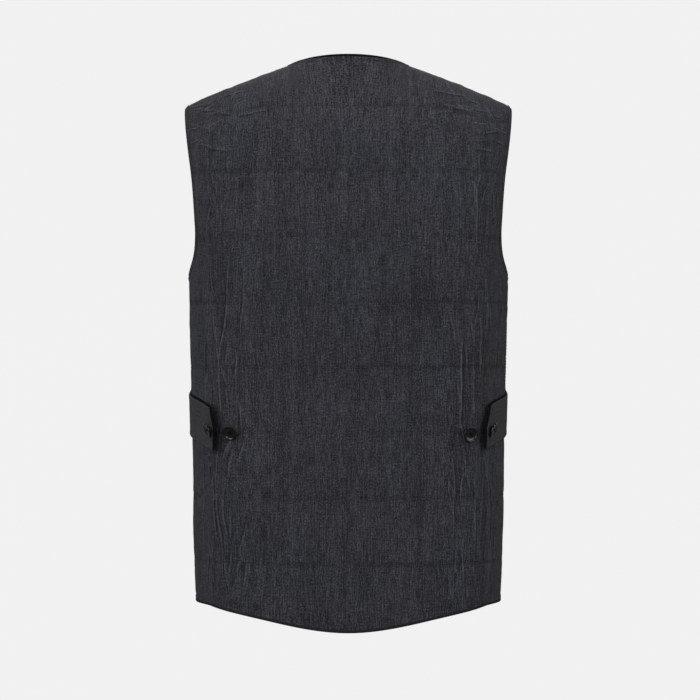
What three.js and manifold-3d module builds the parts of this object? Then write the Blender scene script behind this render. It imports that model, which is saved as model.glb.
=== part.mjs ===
// A sleeveless quilted vest, worn shape with no wearer, in millimetres with +Z up.
// The front faces -Y, the back faces +Y and the wearer's left is +X. The origin is the middle of
// the shoulders, where the vest is carried: level with the middle of the shoulder seams.
//
// The body is a stack of rings. Each ring is a rounded oval, worked out from the tables below, and
// a place on it is given by its height and its distance round the cloth from the centre line.
// Above the chest the rings become a yoke that curves over to the shoulder seam.

import * as THREE from 'three';
import { mergeVertices } from 'three/addons/utils/BufferGeometryUtils.js';
import Module from 'manifold-3d';

const wasm = await Module();
wasm.setup();

// ---------------------------------------------------------------------------------- sizes

const QUILT_THICKNESS = 4; // shell cloth, padding and backing together
const SEAM_GAP = 0.3; // between two pieces that are sewn to each other

// Heights of the main lines
const NECK_BACK = 25.4;
const NECK_POINT = 19.8;
const SHOULDER_TIP = -29;
const YOKE = -100;
const SCOOP_TOP = -165;
const ARMPIT = -235;
const V_CORNER = -262;
const HEM_SIDE = -618.5;
const HEM_BOW = { back: 27.5, front: 18 }; // how much lower the hem hangs on the centre line
const HEM_BOW_SHARE = { back: 0.76, front: 1 }; // of the way round to the side seam

// The neck hole, seen from above
const NECK_HALF_WIDTH = 68;
const NECK_POINT_DEPTH = 12;
const NECK_BACK_DEPTH = 62;

const SHOULDER = { halfWidth: 194.5, depth: 0, rise: 1.4 }; // the tip, and the seam's upward bow
const NECK_SHARE = 5 / 18; // share of the half back's columns that end on the neck

// The fronts lap at the centre, left over right
const LAP = 28;
const V_AT_YOKE = 40; // the V edge's distance from the centre line at the yoke
const V_BOW = 0.93; // under 1, the V edge bows outward

// The bindings: how far they stand past the cloth's edge, how much of that is flat, how far they
// lie over the cloth's two faces, and how high their blunt nose is
const BINDING = { width: 2.2, flat: 1.2, wrap: 0.25, nose: 2 };

// The under front lies this deep below the upper one. It comes back out over a run of cloth that
// starts a little way past the lap, and above a height on the V.
const TUCK = {
  depth: QUILT_THICKNESS + 2 * BINDING.wrap + SEAM_GAP,
  start: LAP / 2 + 4,
  run: 34,
  height: V_CORNER + 60,
};

// The body's rings: half width where the oval is widest, and depth behind and in front of the
// side line
const BODY = [
  { height: -660, halfWidth: 181.4, back: 112, front: 115 },
  { height: -618, halfWidth: 182.2, back: 113, front: 116 },
  { height: -520, halfWidth: 185.2, back: 112, front: 118 },
  { height: -440, halfWidth: 186.0, back: 110, front: 119 },
  { height: -385, halfWidth: 187.4, back: 110, front: 120 },
  { height: -300, halfWidth: 189.6, back: 112, front: 122 },
  { height: ARMPIT, halfWidth: 190.8, back: 116, front: 121 },
  { height: -215, halfWidth: 190.4, back: 116, front: 119 },
  { height: -187, halfWidth: 192.8, back: 115, front: 115 },
  { height: SCOOP_TOP, halfWidth: 195.6, back: 113, front: 111 },
  { height: YOKE, halfWidth: 200.2, back: 105, front: 94 },
];

// How far the armhole is cut in behind and in front of the shoulder tip, at the top of its scoop,
// and how much less that is at the yoke
const ARMHOLE_REACH = { back: 54, front: 64 };
const ARMHOLE_TAPER = { back: 7, front: 14 };

// How half a ring turns on its way from the centre line to the side line, in degrees. Behind, the
// quilted cloth is nearly flat, and turns to the side along its outer upright quilting line; the
// chest is rounder. From and to are shares of the way.
const TURNS = {
  back: [
    { part: 'middle', turn: 10, from: 0, to: 0.45 },
    { part: 'corner', turn: 57, from: 0.42, to: 0.72 },
    { part: 'side', turn: 23, from: 0.8, to: 1 },
  ],
  front: [
    { part: 'middle', turn: 16, from: 0, to: 0.45 },
    { part: 'corner', turn: 46, from: 0.34, to: 0.8 },
    { part: 'side', turn: 28, from: 0.7, to: 1 },
  ],
};

const GRID = { columns: 18, hemRows: 7, scoopRows: 5, upperRows: 1, yokeRows: 7 };

const TAB = {
  width: 48,
  thickness: 1.4,
  slope: THREE.MathUtils.degToRad(10),
  height: -396, // of its middle line at the side seam
  base: 48, // how far ahead of the side seam it is sewn down
  reach: { left: 100, right: 91 }, // from the side seam to the end's point
  setBack: { left: { top: 12, bottom: -1 }, right: { top: 15, bottom: -1 } }, // of the end's corners
  lift: { base: 0.5, end: { left: 11, right: 6.5 }, twist: 3, power: 5 }, // the end kicks out
  button: { fromEnd: { left: 4.5, right: 7.5 }, across: { left: 0, right: -2.5 }, standOff: 1.9 },
  columns: 14,
  rows: 2,
};
const TAB_FACING = { thickness: 0.9, showing: 2.8 }; // under the tab, past its top and its end

const BUTTON = {
  radius: 8.8,
  footRadius: 7.5, // of its flat back
  flank: { from: 1, to: 2.1 }, // the heights between which its side is upright
  crownRadius: 8.3, // where its rim starts
  rimRadius: 7.2, // where its rim ends
  thickness: 3,
  dish: 0.8,
  sides: 24,
  holes: 4,
  holeRadius: 0.9,
  holeCircle: 2.2,
  holeFloor: 0.9, // over the back
  holeSides: 8,
  shankRadius: 1.6,
  shankLength: 1,
};
// The way a left button faces: aside is toward the wearer's left, down toward the hem
const TAB_BUTTON_FACING = { aside: 0.88, behind: 0.28, down: 0.38 };
const SPARE_BUTTON = {
  height: { left: -416.5, right: -419 },
  fromCentre: { left: 137, right: 143 }, // round the cloth from the centre back
  standOff: { left: 1.5, right: 0.5 }, // a button that leans stands further off the cloth
  facing: {
    left: { aside: 0.36, behind: 0.88, down: 0.3 },
    right: { aside: 0.36, behind: 0.93, down: 0.05 },
  },
};
const FRONT_BUTTONS = { count: 5, first: -274, last: -574, standOff: 0.6 };

// ------------------------------------------------------------------------------- materials

const quilted = new THREE.MeshStandardMaterial({ color: 0x33343a, roughness: 0.92, metalness: 0 });
const plainCloth = new THREE.MeshStandardMaterial({ color: 0x3a3b40, roughness: 0.9, metalness: 0 });
const edging = new THREE.MeshStandardMaterial({ color: 0x17171a, roughness: 0.9, metalness: 0 });
const horn = new THREE.MeshStandardMaterial({ color: 0x1b1613, roughness: 0.25, metalness: 0 });

// ---------------------------------------------------------------------------------- curves

// A smooth curve through one column of a table, with no overshoot between its rows.
function curve(table, column) {
  const rows = [...table].sort((a, b) => a.height - b.height);
  const at = rows.map((row) => row.height);
  const value = rows.map((row) => row[column]);
  const chord = [];
  for (let i = 0; i + 1 < at.length; i += 1) {
    chord.push((value[i + 1] - value[i]) / (at[i + 1] - at[i]));
  }
  const slope = at.map((_, i) => {
    if (i === 0) return chord[0];
    if (i === at.length - 1) return chord[i - 1];
    if (chord[i - 1] * chord[i] <= 0) return 0;
    return (2 * chord[i - 1] * chord[i]) / (chord[i - 1] + chord[i]);
  });
  return (height) => {
    const place = THREE.MathUtils.clamp(height, at[0], at[at.length - 1]);
    let i = 0;
    while (i < at.length - 2 && place > at[i + 1]) i += 1;
    const span = at[i + 1] - at[i];
    const share = (place - at[i]) / span;
    return hermite(value[i], slope[i] * span, value[i + 1], slope[i + 1] * span, share);
  };
}

function hermite(from, leaving, to, arriving, t) {
  const t2 = t * t;
  const t3 = t2 * t;
  return (
    (2 * t3 - 3 * t2 + 1) * from +
    (t3 - 2 * t2 + t) * leaving +
    (3 * t2 - 2 * t3) * to +
    (t3 - t2) * arriving
  );
}

// ------------------------------------------------------------------------- the body's rings

const halfWidthAt = curve(BODY, 'halfWidth');

// The run of half a ring, scaled to go out by 1 and forward by 1.
const RING_STEPS = 160;
function unitRun(turns) {
  const turned = (share, { turn, from, to }) => turn * THREE.MathUtils.smoothstep(share, from, to);
  const run = [{ x: 0, y: 0 }];
  for (let i = 0; i < RING_STEPS; i += 1) {
    const share = (i + 0.5) / RING_STEPS;
    const degrees = turns.reduce((sum, part) => sum + turned(share, part), 0);
    const heading = THREE.MathUtils.degToRad(degrees);
    run.push({ x: run[i].x + Math.cos(heading), y: run[i].y + Math.sin(heading) });
  }
  const end = run[RING_STEPS];
  return run.map(({ x, y }) => ({ x: x / end.x, y: y / end.y }));
}

const FACES = {
  back: { name: 'back', outward: 1, depthAt: curve(BODY, 'back'), run: unitRun(TURNS.back) },
  front: { name: 'front', outward: -1, depthAt: curve(BODY, 'front'), run: unitRun(TURNS.front) },
};

// Where the half ring at this height ends in depth: on the side seam, or on the armhole above it.
function edgeDepth(face, height) {
  if (height <= ARMPIT) return 0;
  const reach = ARMHOLE_REACH[face.name];
  if (height < SCOOP_TOP) {
    const climb = (height - ARMPIT) / (SCOOP_TOP - ARMPIT);
    return reach * Math.sqrt(climb * (2 - climb));
  }
  const climb = (height - SCOOP_TOP) / (YOKE - SCOOP_TOP);
  return reach - ARMHOLE_TAPER[face.name] * climb * climb;
}

// Half a ring as points with their distance round the cloth from the centre line.
const rings = new Map();
function halfRing(face, height) {
  const key = `${face.name} ${height.toFixed(4)}`;
  if (rings.has(key)) return rings.get(key);
  const depth = face.depthAt(height);
  const width = halfWidthAt(height);
  const edge = edgeDepth(face, height);
  const points = [{ x: 0, y: depth, distance: 0 }];
  for (let i = 1; i <= RING_STEPS && points[i - 1].y > edge; i += 1) {
    const before = points[i - 1];
    const x = width * face.run[i].x;
    const y = depth * (1 - face.run[i].y);
    const share = y < edge ? (before.y - edge) / (before.y - y) : 1;
    const step = { x: share * (x - before.x), y: share * (y - before.y) };
    const distance = before.distance + Math.hypot(step.x, step.y);
    points.push({ x: before.x + step.x, y: before.y + step.y, distance });
  }
  const ring = { points, length: points.at(-1).distance };
  rings.set(key, ring);
  return ring;
}

// The place on the ring at a distance from the centre line; a negative one lies across it.
function ringPlace(face, height, distance) {
  const { points } = halfRing(face, height);
  const wanted = Math.abs(distance);
  let i = 0;
  while (i < points.length - 2 && wanted > points[i + 1].distance) i += 1;
  const share = (wanted - points[i].distance) / (points[i + 1].distance - points[i].distance);
  const x = THREE.MathUtils.lerp(points[i].x, points[i + 1].x, share);
  const y = THREE.MathUtils.lerp(points[i].y, points[i + 1].y, share);
  return new THREE.Vector3(Math.sign(distance) * x, face.outward * y, height);
}

// ------------------------------------------------------------------------ the panels' rows

// Rows run from the hem to the shoulder. A ring row has a height, and a bow at the hem. A yoke row
// has its share of the way from the yoke line to the shoulder seam and the neck.
function panelRows() {
  const rows = [];
  for (let i = 0; i <= GRID.hemRows; i += 1) {
    const share = i / GRID.hemRows;
    rows.push({ height: THREE.MathUtils.lerp(HEM_SIDE, V_CORNER, share), bow: 1 - share });
  }
  rows.push({ height: (V_CORNER + ARMPIT) / 2, bow: 0 });
  for (let i = 0; i <= GRID.scoopRows; i += 1) {
    const angle = (Math.PI / 2) * (i / GRID.scoopRows);
    rows.push({ height: ARMPIT + (SCOOP_TOP - ARMPIT) * (1 - Math.cos(angle)), bow: 0 });
  }
  for (let i = 1; i <= GRID.upperRows; i += 1) {
    rows.push({ height: THREE.MathUtils.lerp(SCOOP_TOP, YOKE, i / GRID.upperRows), bow: 0 });
  }
  for (let i = 1; i <= GRID.yokeRows; i += 1) {
    rows.push({ yoke: i / GRID.yokeRows });
  }
  return rows;
}

// The front edge's distance from the centre line: past it below the V, then out along the V.
function frontEdge(height) {
  if (height <= V_CORNER) return -LAP / 2;
  const climb = (height - V_CORNER) / (YOKE - V_CORNER);
  return THREE.MathUtils.lerp(-LAP / 2, V_AT_YOKE, climb ** V_BOW);
}

function shoulderPlace(share) {
  const bow = SHOULDER.rise * Math.sin(Math.PI * share);
  return new THREE.Vector3(
    THREE.MathUtils.lerp(NECK_HALF_WIDTH, SHOULDER.halfWidth, share),
    THREE.MathUtils.lerp(NECK_POINT_DEPTH, SHOULDER.depth, share),
    THREE.MathUtils.lerp(NECK_POINT, SHOULDER_TIP, share) + bow,
  );
}

// A column's share of the shoulder seam, from the neck point at the column given to the tip.
function shoulderShare(face, across, neckColumn) {
  const neck = columnDistance(face, YOKE, neckColumn);
  return (columnDistance(face, YOKE, across) - neck) / (columnDistance(face, YOKE, 1) - neck);
}

// Each face's top line, and how far the cloth has turned over when it gets there: 1 lies flat.
FACES.back.inner = () => 0;
FACES.back.top = (across) => {
  if (across >= NECK_SHARE) return shoulderPlace(shoulderShare(FACES.back, across, NECK_SHARE));
  const angle = (Math.PI / 2) * (across / NECK_SHARE);
  return new THREE.Vector3(
    NECK_HALF_WIDTH * Math.sin(angle),
    THREE.MathUtils.lerp(NECK_POINT_DEPTH, NECK_BACK_DEPTH, Math.cos(angle)),
    THREE.MathUtils.lerp(NECK_POINT, NECK_BACK, Math.cos(angle) ** 2),
  );
};
FACES.back.turn = (across) => THREE.MathUtils.smoothstep(across, 0, NECK_SHARE);
FACES.front.inner = frontEdge;
FACES.front.top = (across) => shoulderPlace(shoulderShare(FACES.front, across, 0));
FACES.front.turn = () => 1;

const STANDING_PULL = 0.9; // how hard a standing top edge draws the cloth in
const QUARTER_ROUND = 1.657; // makes a hermite curve follow a quarter of an ellipse

// A column's distance round the cloth: across runs from 0 at the face's inner edge to 1 at the side
// seam. The columns keep their distance where the armhole or the V cuts in, and only those near
// the cut bunch up.
const BUNCHING = 3;
function columnDistance(face, height, across) {
  const whole = halfRing(face, Math.min(height, ARMPIT)).length;
  const cutOutside = whole - halfRing(face, height).length;
  const cutInside = face.inner(height) - face.inner(V_CORNER);
  const plain = THREE.MathUtils.lerp(face.inner(V_CORNER), whole, across);
  return plain + cutInside * (1 - across) ** BUNCHING - cutOutside * across ** BUNCHING;
}

function ringRowPlace(face, row, across) {
  const distance = columnDistance(face, row.height, across);
  const round = Math.abs(distance) / halfRing(face, row.height).length;
  const hang = 1 - THREE.MathUtils.smoothstep(round, 0, HEM_BOW_SHARE[face.name]);
  return { height: row.height - row.bow * HEM_BOW[face.name] * hang, distance };
}

function yokePlace(face, yoke, across) {
  const foot = ringPointAt(face, YOKE, across);
  const slope = foot.clone().sub(ringPointAt(face, YOKE - 1, across));
  const top = face.top(across);
  const turn = face.turn(across);
  const rise = top.z - foot.z;
  const leaving = slope.multiplyScalar(rise * THREE.MathUtils.lerp(1, QUARTER_ROUND, turn));
  const arriving = new THREE.Vector3(
    (top.x - foot.x) * (1 - turn),
    (top.y - foot.y) * THREE.MathUtils.lerp(STANDING_PULL, QUARTER_ROUND, turn),
    rise * (1 - turn),
  );
  return new THREE.Vector3(
    hermite(foot.x, leaving.x, top.x, arriving.x, yoke),
    hermite(foot.y, leaving.y, top.y, arriving.y, yoke),
    hermite(foot.z, leaving.z, top.z, arriving.z, yoke),
  );
}

function ringPointAt(face, height, across) {
  const place = ringRowPlace(face, { height, bow: 0 }, across);
  return ringPlace(face, place.height, place.distance);
}

// A point of the cloth's outer face with its outward normal.
function facePoint(face, row, across) {
  const place = row.yoke === undefined ? ringRowPlace(face, row, across) : null;
  return place ? ringPoint(face, place.height, place.distance) : yokePoint(face, row.yoke, across);
}

const STEP = 0.05; // the small step that slopes are taken over, in millimetres
const YOKE_STEP = 0.0005; // the same as a share of the yoke or of a row

function ringPoint(face, height, distance) {
  const length = halfRing(face, height).length;
  const point = ringPlace(face, height, distance);
  const east = alongRing(face, height, Math.min(distance + STEP, length));
  const north = point.clone().sub(ringPlace(face, height - STEP, distance));
  return { point, normal: east.cross(north).multiplyScalar(-face.outward).normalize() };
}

// The ring's run at a place. At the side seam it crosses from face to face with no corner.
function alongRing(face, height, end) {
  const onSeam = height <= ARMPIT && end === halfRing(face, height).length;
  if (onSeam) return new THREE.Vector3(0, -face.outward, 0);
  return ringPlace(face, height, end).sub(ringPlace(face, height, end - 2 * STEP));
}

function yokePoint(face, yoke, across) {
  const point = yokePlace(face, yoke, across);
  const beside = Math.min(across, 1 - YOKE_STEP);
  const east = yokePlace(face, yoke, beside + YOKE_STEP).sub(yokePlace(face, yoke, beside));
  const north = point.clone().sub(yokePlace(face, yoke - YOKE_STEP, across));
  return { point, normal: east.cross(north).multiplyScalar(-face.outward).normalize() };
}

function mirrored({ point, normal }) {
  const flip = new THREE.Vector3(-1, 1, 1);
  return { point: point.clone().multiply(flip), normal: normal.clone().multiply(flip) };
}

function moved({ point, normal }, distance) {
  return { point: point.clone().addScaledVector(normal, distance), normal };
}

// ----------------------------------------------------------------------------- solid shells

// A closed wall between two grids of points. Seen from outside, the columns run to the right.
function wallGeometry(outer, inner) {
  const rows = outer.length;
  const columns = outer[0].length;
  const positions = [...outer.flat(), ...inner.flat()].flatMap(({ point }) => point.toArray());
  const outside = (j, i) => j * columns + i;
  const inside = (j, i) => (rows + j) * columns + i;
  const indices = [];
  const quad = (a, b, c, d) => indices.push(a, b, c, a, c, d);
  const right = columns - 1;
  const top = rows - 1;
  for (let j = 0; j < top; j += 1) {
    for (let i = 0; i < right; i += 1) {
      quad(outside(j, i), outside(j, i + 1), outside(j + 1, i + 1), outside(j + 1, i));
      quad(inside(j, i), inside(j + 1, i), inside(j + 1, i + 1), inside(j, i + 1));
    }
    quad(outside(j, 0), outside(j + 1, 0), inside(j + 1, 0), inside(j, 0));
    quad(outside(j + 1, right), outside(j, right), inside(j, right), inside(j + 1, right));
  }
  for (let i = 0; i < right; i += 1) {
    quad(outside(0, i + 1), outside(0, i), inside(0, i), inside(0, i + 1));
    quad(outside(top, i), outside(top, i + 1), inside(top, i + 1), inside(top, i));
  }
  const geometry = new THREE.BufferGeometry();
  geometry.setAttribute('position', new THREE.Float32BufferAttribute(positions, 3));
  geometry.setIndex(indices);
  return geometry;
}

function namedMesh(name, geometry, material) {
  geometry.computeVertexNormals();
  const mesh = new THREE.Mesh(geometry, material);
  mesh.name = name;
  return mesh;
}

// ----------------------------------------------------------------------------------- panels

// Draws the side and shoulder lines in by half a seam gap, so that sewn pieces don't touch.
function drawInSeams(grid) {
  const half = SEAM_GAP / 2;
  const right = grid[0].length - 1;
  const top = grid.length - 1;
  const drawIn = (line, i, towards) => {
    const shift = towards.point.clone().sub(line[i].point).setLength(half);
    line[i] = { point: line[i].point.clone().add(shift), normal: line[i].normal };
  };
  const drawn = grid.map((line) => line.slice());
  drawn.forEach((line, j) => {
    drawIn(line, 0, grid[j][1]);
    drawIn(line, right, grid[j][right - 1]);
  });
  drawn[top].forEach((_, i) => drawIn(drawn[top], i, grid[top - 1][i]));
  return drawn;
}

// Columns run to the right as the back is seen, from the left side (+X) to the right side.
function backGrid() {
  return panelRows().map((row) => {
    const line = [];
    for (let i = -GRID.columns; i <= GRID.columns; i += 1) {
      const onLeft = facePoint(FACES.back, row, Math.abs(i) / GRID.columns);
      line.push(i > 0 ? mirrored(onLeft) : onLeft);
    }
    return line;
  });
}

// Columns run to the right as the front is seen: the left front's from its front edge to the side.
function leftFrontGrid() {
  return panelRows().map((row) => {
    const line = [];
    for (let i = 0; i <= GRID.columns; i += 1) {
      line.push(facePoint(FACES.front, row, i / GRID.columns));
    }
    return line;
  });
}

// The right front mirrors it, and is drawn in where it lies under the left one.
function rightFrontGrid() {
  return leftFrontGrid().map((line) => {
    const onRight = line.map(mirrored).reverse();
    return onRight.map((at) => moved(at, -tuckAt(at.point)));
  });
}

function tuckAt({ x, z }) {
  const pastTheLap = THREE.MathUtils.smoothstep(-x, TUCK.start, TUCK.start + TUCK.run);
  const upTheV = THREE.MathUtils.smoothstep(z, TUCK.height, YOKE);
  return TUCK.depth * (1 - pastTheLap) * (1 - upTheV);
}

function offsetGrid(grid, distance) {
  return grid.map((line) => line.map((at) => moved(at, distance)));
}

function makePanel(name, grid) {
  const outer = drawInSeams(grid);
  const mesh = namedMesh(name, wallGeometry(outer, offsetGrid(outer, -QUILT_THICKNESS)), quilted);
  return { outer, mesh };
}

const backPanel = makePanel('back_panel', backGrid());
const leftFront = makePanel('front_left', leftFrontGrid());
const rightFront = makePanel('front_right', rightFrontGrid());

// --------------------------------------------------------------------------------- bindings

// A binding caps the cloth's edge. Its section is drawn outward from the edge and up the normal.
const BINDING_FLAT = SEAM_GAP + BINDING.flat;
const BINDING_END = SEAM_GAP + BINDING.width;
const BINDING_UNDERSIDE = -QUILT_THICKNESS - BINDING.wrap;
const BINDING_SECTION = [
  { out: SEAM_GAP, up: BINDING.wrap },
  { out: BINDING_FLAT, up: BINDING.wrap },
  { out: BINDING_END, up: (BINDING.nose - QUILT_THICKNESS) / 2 },
  { out: BINDING_END, up: (-BINDING.nose - QUILT_THICKNESS) / 2 },
  { out: BINDING_FLAT, up: BINDING_UNDERSIDE },
  { out: SEAM_GAP, up: BINDING_UNDERSIDE },
];

const column = (panel, i) => panel.outer.map((line) => line.at(i));
const seamPoint = (one, other) => ({
  point: one.point.clone().lerp(other.point, 0.5),
  normal: one.normal.clone().lerp(other.normal, 0.5).normalize(),
});

// Joins edges end to end; where two panels meet, their two end points become one.
function joinEdges(...edges) {
  return edges.reduce((path, edge) => [
    ...path.slice(0, -1),
    seamPoint(path[path.length - 1], edge[0]),
    ...edge.slice(1),
  ]);
}

// Sweeps the section along an edge that has the cloth on its left, seen from outside.
function bindingGeometry(path, closed) {
  const count = path.length;
  const next = (i) => (closed ? path[(i + 1) % count] : path[Math.min(i + 1, count - 1)]);
  const previous = (i) => (closed ? path[(i + count - 1) % count] : path[Math.max(i - 1, 0)]);
  const positions = path.flatMap(({ point, normal }, i) => {
    const along = next(i).point.clone().sub(previous(i).point);
    const outward = along.cross(normal).normalize();
    return BINDING_SECTION.flatMap(({ out, up }) =>
      point.clone().addScaledVector(outward, out).addScaledVector(normal, up).toArray(),
    );
  });
  const sides = BINDING_SECTION.length;
  const corner = (i, k) => (i % count) * sides + (k % sides);
  const indices = [];
  for (let i = 0; i < (closed ? count : count - 1); i += 1) {
    for (let k = 0; k < sides; k += 1) {
      indices.push(corner(i, k), corner(i, k + 1), corner(i + 1, k + 1));
      indices.push(corner(i, k), corner(i + 1, k + 1), corner(i + 1, k));
    }
  }
  if (!closed) {
    for (let k = 1; k + 1 < sides; k += 1) {
      indices.push(corner(0, 0), corner(0, k + 1), corner(0, k));
      indices.push(corner(count - 1, 0), corner(count - 1, k), corner(count - 1, k + 1));
    }
  }
  const geometry = new THREE.BufferGeometry();
  geometry.setAttribute('position', new THREE.Float32BufferAttribute(positions, 3));
  geometry.setIndex(indices);
  return geometry;
}

// The hem's binding runs on past each front edge, to cover the end of the front edge's binding.
function runOn(path) {
  const extend = (end, before) => {
    const run = end.point.clone().sub(before.point).setLength(BINDING_END);
    return { point: end.point.clone().add(run), normal: end.normal };
  };
  return [extend(path[0], path[1]), ...path, extend(path.at(-1), path.at(-2))];
}

const armpitRow = GRID.hemRows + 2;
const neckColumns = GRID.columns * NECK_SHARE;
const backNeck = backPanel.outer
  .at(-1)
  .slice(GRID.columns - neckColumns, GRID.columns + neckColumns + 1);

const neckPath = joinEdges(
  column(rightFront, -1),
  backNeck.toReversed(),
  column(leftFront, 0).toReversed(),
);
const hemPath = runOn(joinEdges(leftFront.outer[0], backPanel.outer[0], rightFront.outer[0]));

function armholePath(side) {
  const onLeft = side === 'left';
  const back = column(backPanel, onLeft ? 0 : -1).slice(armpitRow);
  const front = (onLeft ? column(leftFront, -1) : column(rightFront, 0)).slice(armpitRow);
  const loop = joinEdges(front, back.toReversed());
  loop[0] = seamPoint(loop[0], loop.pop());
  return onLeft ? loop : loop.toReversed();
}

// ------------------------------------------------------------------------------------- tabs

// A place on the left side of the body: round is measured back from the side seam.
function sidePoint(height, round) {
  const face = round >= 0 ? FACES.back : FACES.front;
  return ringPoint(face, height, halfRing(face, height).length - Math.abs(round));
}

// The tab slopes down toward the centre back. Along is measured from the side seam and across
// from its middle line, upward; height is over the underside of its facing.
function tabPoint(side, along, across, height) {
  const round = along * Math.cos(TAB.slope) + across * Math.sin(TAB.slope);
  const level = TAB.height - along * Math.sin(TAB.slope) + across * Math.cos(TAB.slope);
  const leaving = (Math.max(along, 0) / TAB.reach[side]) ** TAB.lift.power;
  const clearance = TAB.lift.end[side] + TAB.lift.twist * (across / (TAB.width / 2));
  const point = moved(sidePoint(level, round), TAB.lift.base + clearance * leaving + height);
  return side === 'left' ? point : mirrored(point);
}

function tabReach(side, across) {
  const fromMiddle = across / (TAB.width / 2);
  const corner = TAB.setBack[side][fromMiddle > 0 ? 'top' : 'bottom'];
  return TAB.reach[side] - corner * Math.abs(fromMiddle);
}

// One layer of a tab; past is how much further it goes than the cloth at the top and at the end.
function tabLayer(name, side, { from, thickness, past }, material) {
  const grid = (height) => {
    const rows = [];
    const addRow = (across, beyond) => {
      const end = tabReach(side, across);
      const line = [];
      for (let i = 0; i <= TAB.columns; i += 1) {
        const along = THREE.MathUtils.lerp(-TAB.base, end, i / TAB.columns);
        line.push(tabPoint(side, along, across + beyond, height));
      }
      if (past > 0) line.push(tabPoint(side, end + past, across + beyond, height));
      rows.push(side === 'left' ? line : line.reverse());
    };
    for (let j = 0; j <= TAB.rows; j += 1) {
      addRow((j / TAB.rows - 0.5) * TAB.width, 0);
    }
    if (past > 0) addRow(TAB.width / 2, past);
    return rows;
  };
  return namedMesh(name, wallGeometry(grid(from + thickness), grid(from)), material);
}

function makeTab(side) {
  const cloth = { from: TAB_FACING.thickness + SEAM_GAP, thickness: TAB.thickness, past: 0 };
  const facing = { from: 0, thickness: TAB_FACING.thickness, past: TAB_FACING.showing };
  return [
    tabLayer(`tab_${side}`, side, cloth, plainCloth),
    tabLayer(`tab_facing_${side}`, side, facing, edging),
  ];
}

function tabButtonPlace(side) {
  const { fromEnd, across, standOff } = TAB.button;
  const surface = TAB_FACING.thickness + SEAM_GAP + TAB.thickness;
  return tabPoint(side, TAB.reach[side] - fromEnd[side], across[side], surface + standOff);
}

// ---------------------------------------------------------------------------------- buttons

function solidOf(geometry) {
  const bare = geometry.clone();
  bare.deleteAttribute('normal');
  bare.deleteAttribute('uv');
  const merged = mergeVertices(bare, 1e-4);
  return new wasm.Manifold(
    new wasm.Mesh({
      numProp: 3,
      vertProperties: new Float32Array(merged.attributes.position.array),
      triVerts: new Uint32Array(merged.index.array),
    }),
  );
}

function geometryOf(solid) {
  const { vertProperties, triVerts } = solid.getMesh();
  const geometry = new THREE.BufferGeometry();
  geometry.setAttribute('position', new THREE.Float32BufferAttribute(vertProperties, 3));
  geometry.setIndex(Array.from(triVerts));
  return geometry;
}

// A four-hole button with its thread shank under it. Its back is at height 0 and it faces +Z.
function buttonGeometry() {
  const face = BUTTON.thickness - BUTTON.dish;
  const profile = [
    { radius: 0, height: -BUTTON.shankLength },
    { radius: BUTTON.shankRadius, height: -BUTTON.shankLength },
    { radius: BUTTON.shankRadius, height: 0 },
    { radius: BUTTON.footRadius, height: 0 },
    { radius: BUTTON.radius, height: BUTTON.flank.from },
    { radius: BUTTON.radius, height: BUTTON.flank.to },
    { radius: BUTTON.crownRadius, height: BUTTON.thickness },
    { radius: BUTTON.rimRadius, height: BUTTON.thickness },
    { radius: BUTTON.rimRadius - BUTTON.dish, height: face },
    { radius: 0, height: face },
  ].map(({ radius, height }) => new THREE.Vector2(radius, height));
  const disc = new THREE.LatheGeometry(profile, BUTTON.sides).rotateX(Math.PI / 2);
  const { holeRadius, holeSides, thickness } = BUTTON;
  const hole = new THREE.CylinderGeometry(holeRadius, holeRadius, thickness, holeSides);
  hole.rotateX(Math.PI / 2).translate(0, 0, BUTTON.holeFloor + thickness / 2);
  const drill = solidOf(hole);
  let solid = solidOf(disc);
  for (let i = 0; i < BUTTON.holes; i += 1) {
    const angle = (2 * Math.PI * (i + 0.5)) / BUTTON.holes;
    const across = BUTTON.holeCircle * Math.cos(angle);
    const up = BUTTON.holeCircle * Math.sin(angle);
    solid = solid.subtract(drill.translate([across, up, 0]));
  }
  return geometryOf(solid);
}

const buttonShape = buttonGeometry();

// Stands a button with its shank's foot at a point.
function placeButton(name, foot, axis) {
  const button = namedMesh(name, buttonShape.clone(), horn);
  button.quaternion.setFromUnitVectors(new THREE.Vector3(0, 0, 1), axis);
  button.position.copy(foot).addScaledVector(axis, BUTTON.shankLength);
  return button;
}

function facingAxis(side, { aside, behind, down }) {
  return new THREE.Vector3(side === 'left' ? aside : -aside, behind, -down).normalize();
}

// -------------------------------------------------------------------------------- assembly

const vest = new THREE.Group();
vest.name = 'quilted_vest';
vest.add(backPanel.mesh, leftFront.mesh, rightFront.mesh);
vest.add(namedMesh('neck_binding', bindingGeometry(neckPath, false), edging));
vest.add(namedMesh('hem_binding', bindingGeometry(hemPath, false), edging));

function spareButtonPlace(side) {
  const height = SPARE_BUTTON.height[side];
  const onCloth = ringPoint(FACES.back, height, SPARE_BUTTON.fromCentre[side]);
  return moved(side === 'left' ? onCloth : mirrored(onCloth), SPARE_BUTTON.standOff[side]);
}

for (const side of ['left', 'right']) {
  vest.add(namedMesh(`armhole_binding_${side}`, bindingGeometry(armholePath(side), true), edging));
  vest.add(...makeTab(side));
  const tabAxis = facingAxis(side, TAB_BUTTON_FACING);
  vest.add(placeButton(`tab_button_${side}`, tabButtonPlace(side).point, tabAxis));
  const spareAxis = facingAxis(side, SPARE_BUTTON.facing[side]);
  vest.add(placeButton(`spare_button_${side}`, spareButtonPlace(side).point, spareAxis));
}

for (let i = 0; i < FRONT_BUTTONS.count; i += 1) {
  const share = i / (FRONT_BUTTONS.count - 1);
  const height = THREE.MathUtils.lerp(FRONT_BUTTONS.first, FRONT_BUTTONS.last, share);
  const onCloth = moved(ringPoint(FACES.front, height, 0), FRONT_BUTTONS.standOff);
  vest.add(placeButton(`front_button_${i + 1}`, onCloth.point, onCloth.normal));
}

export default vest;
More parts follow.
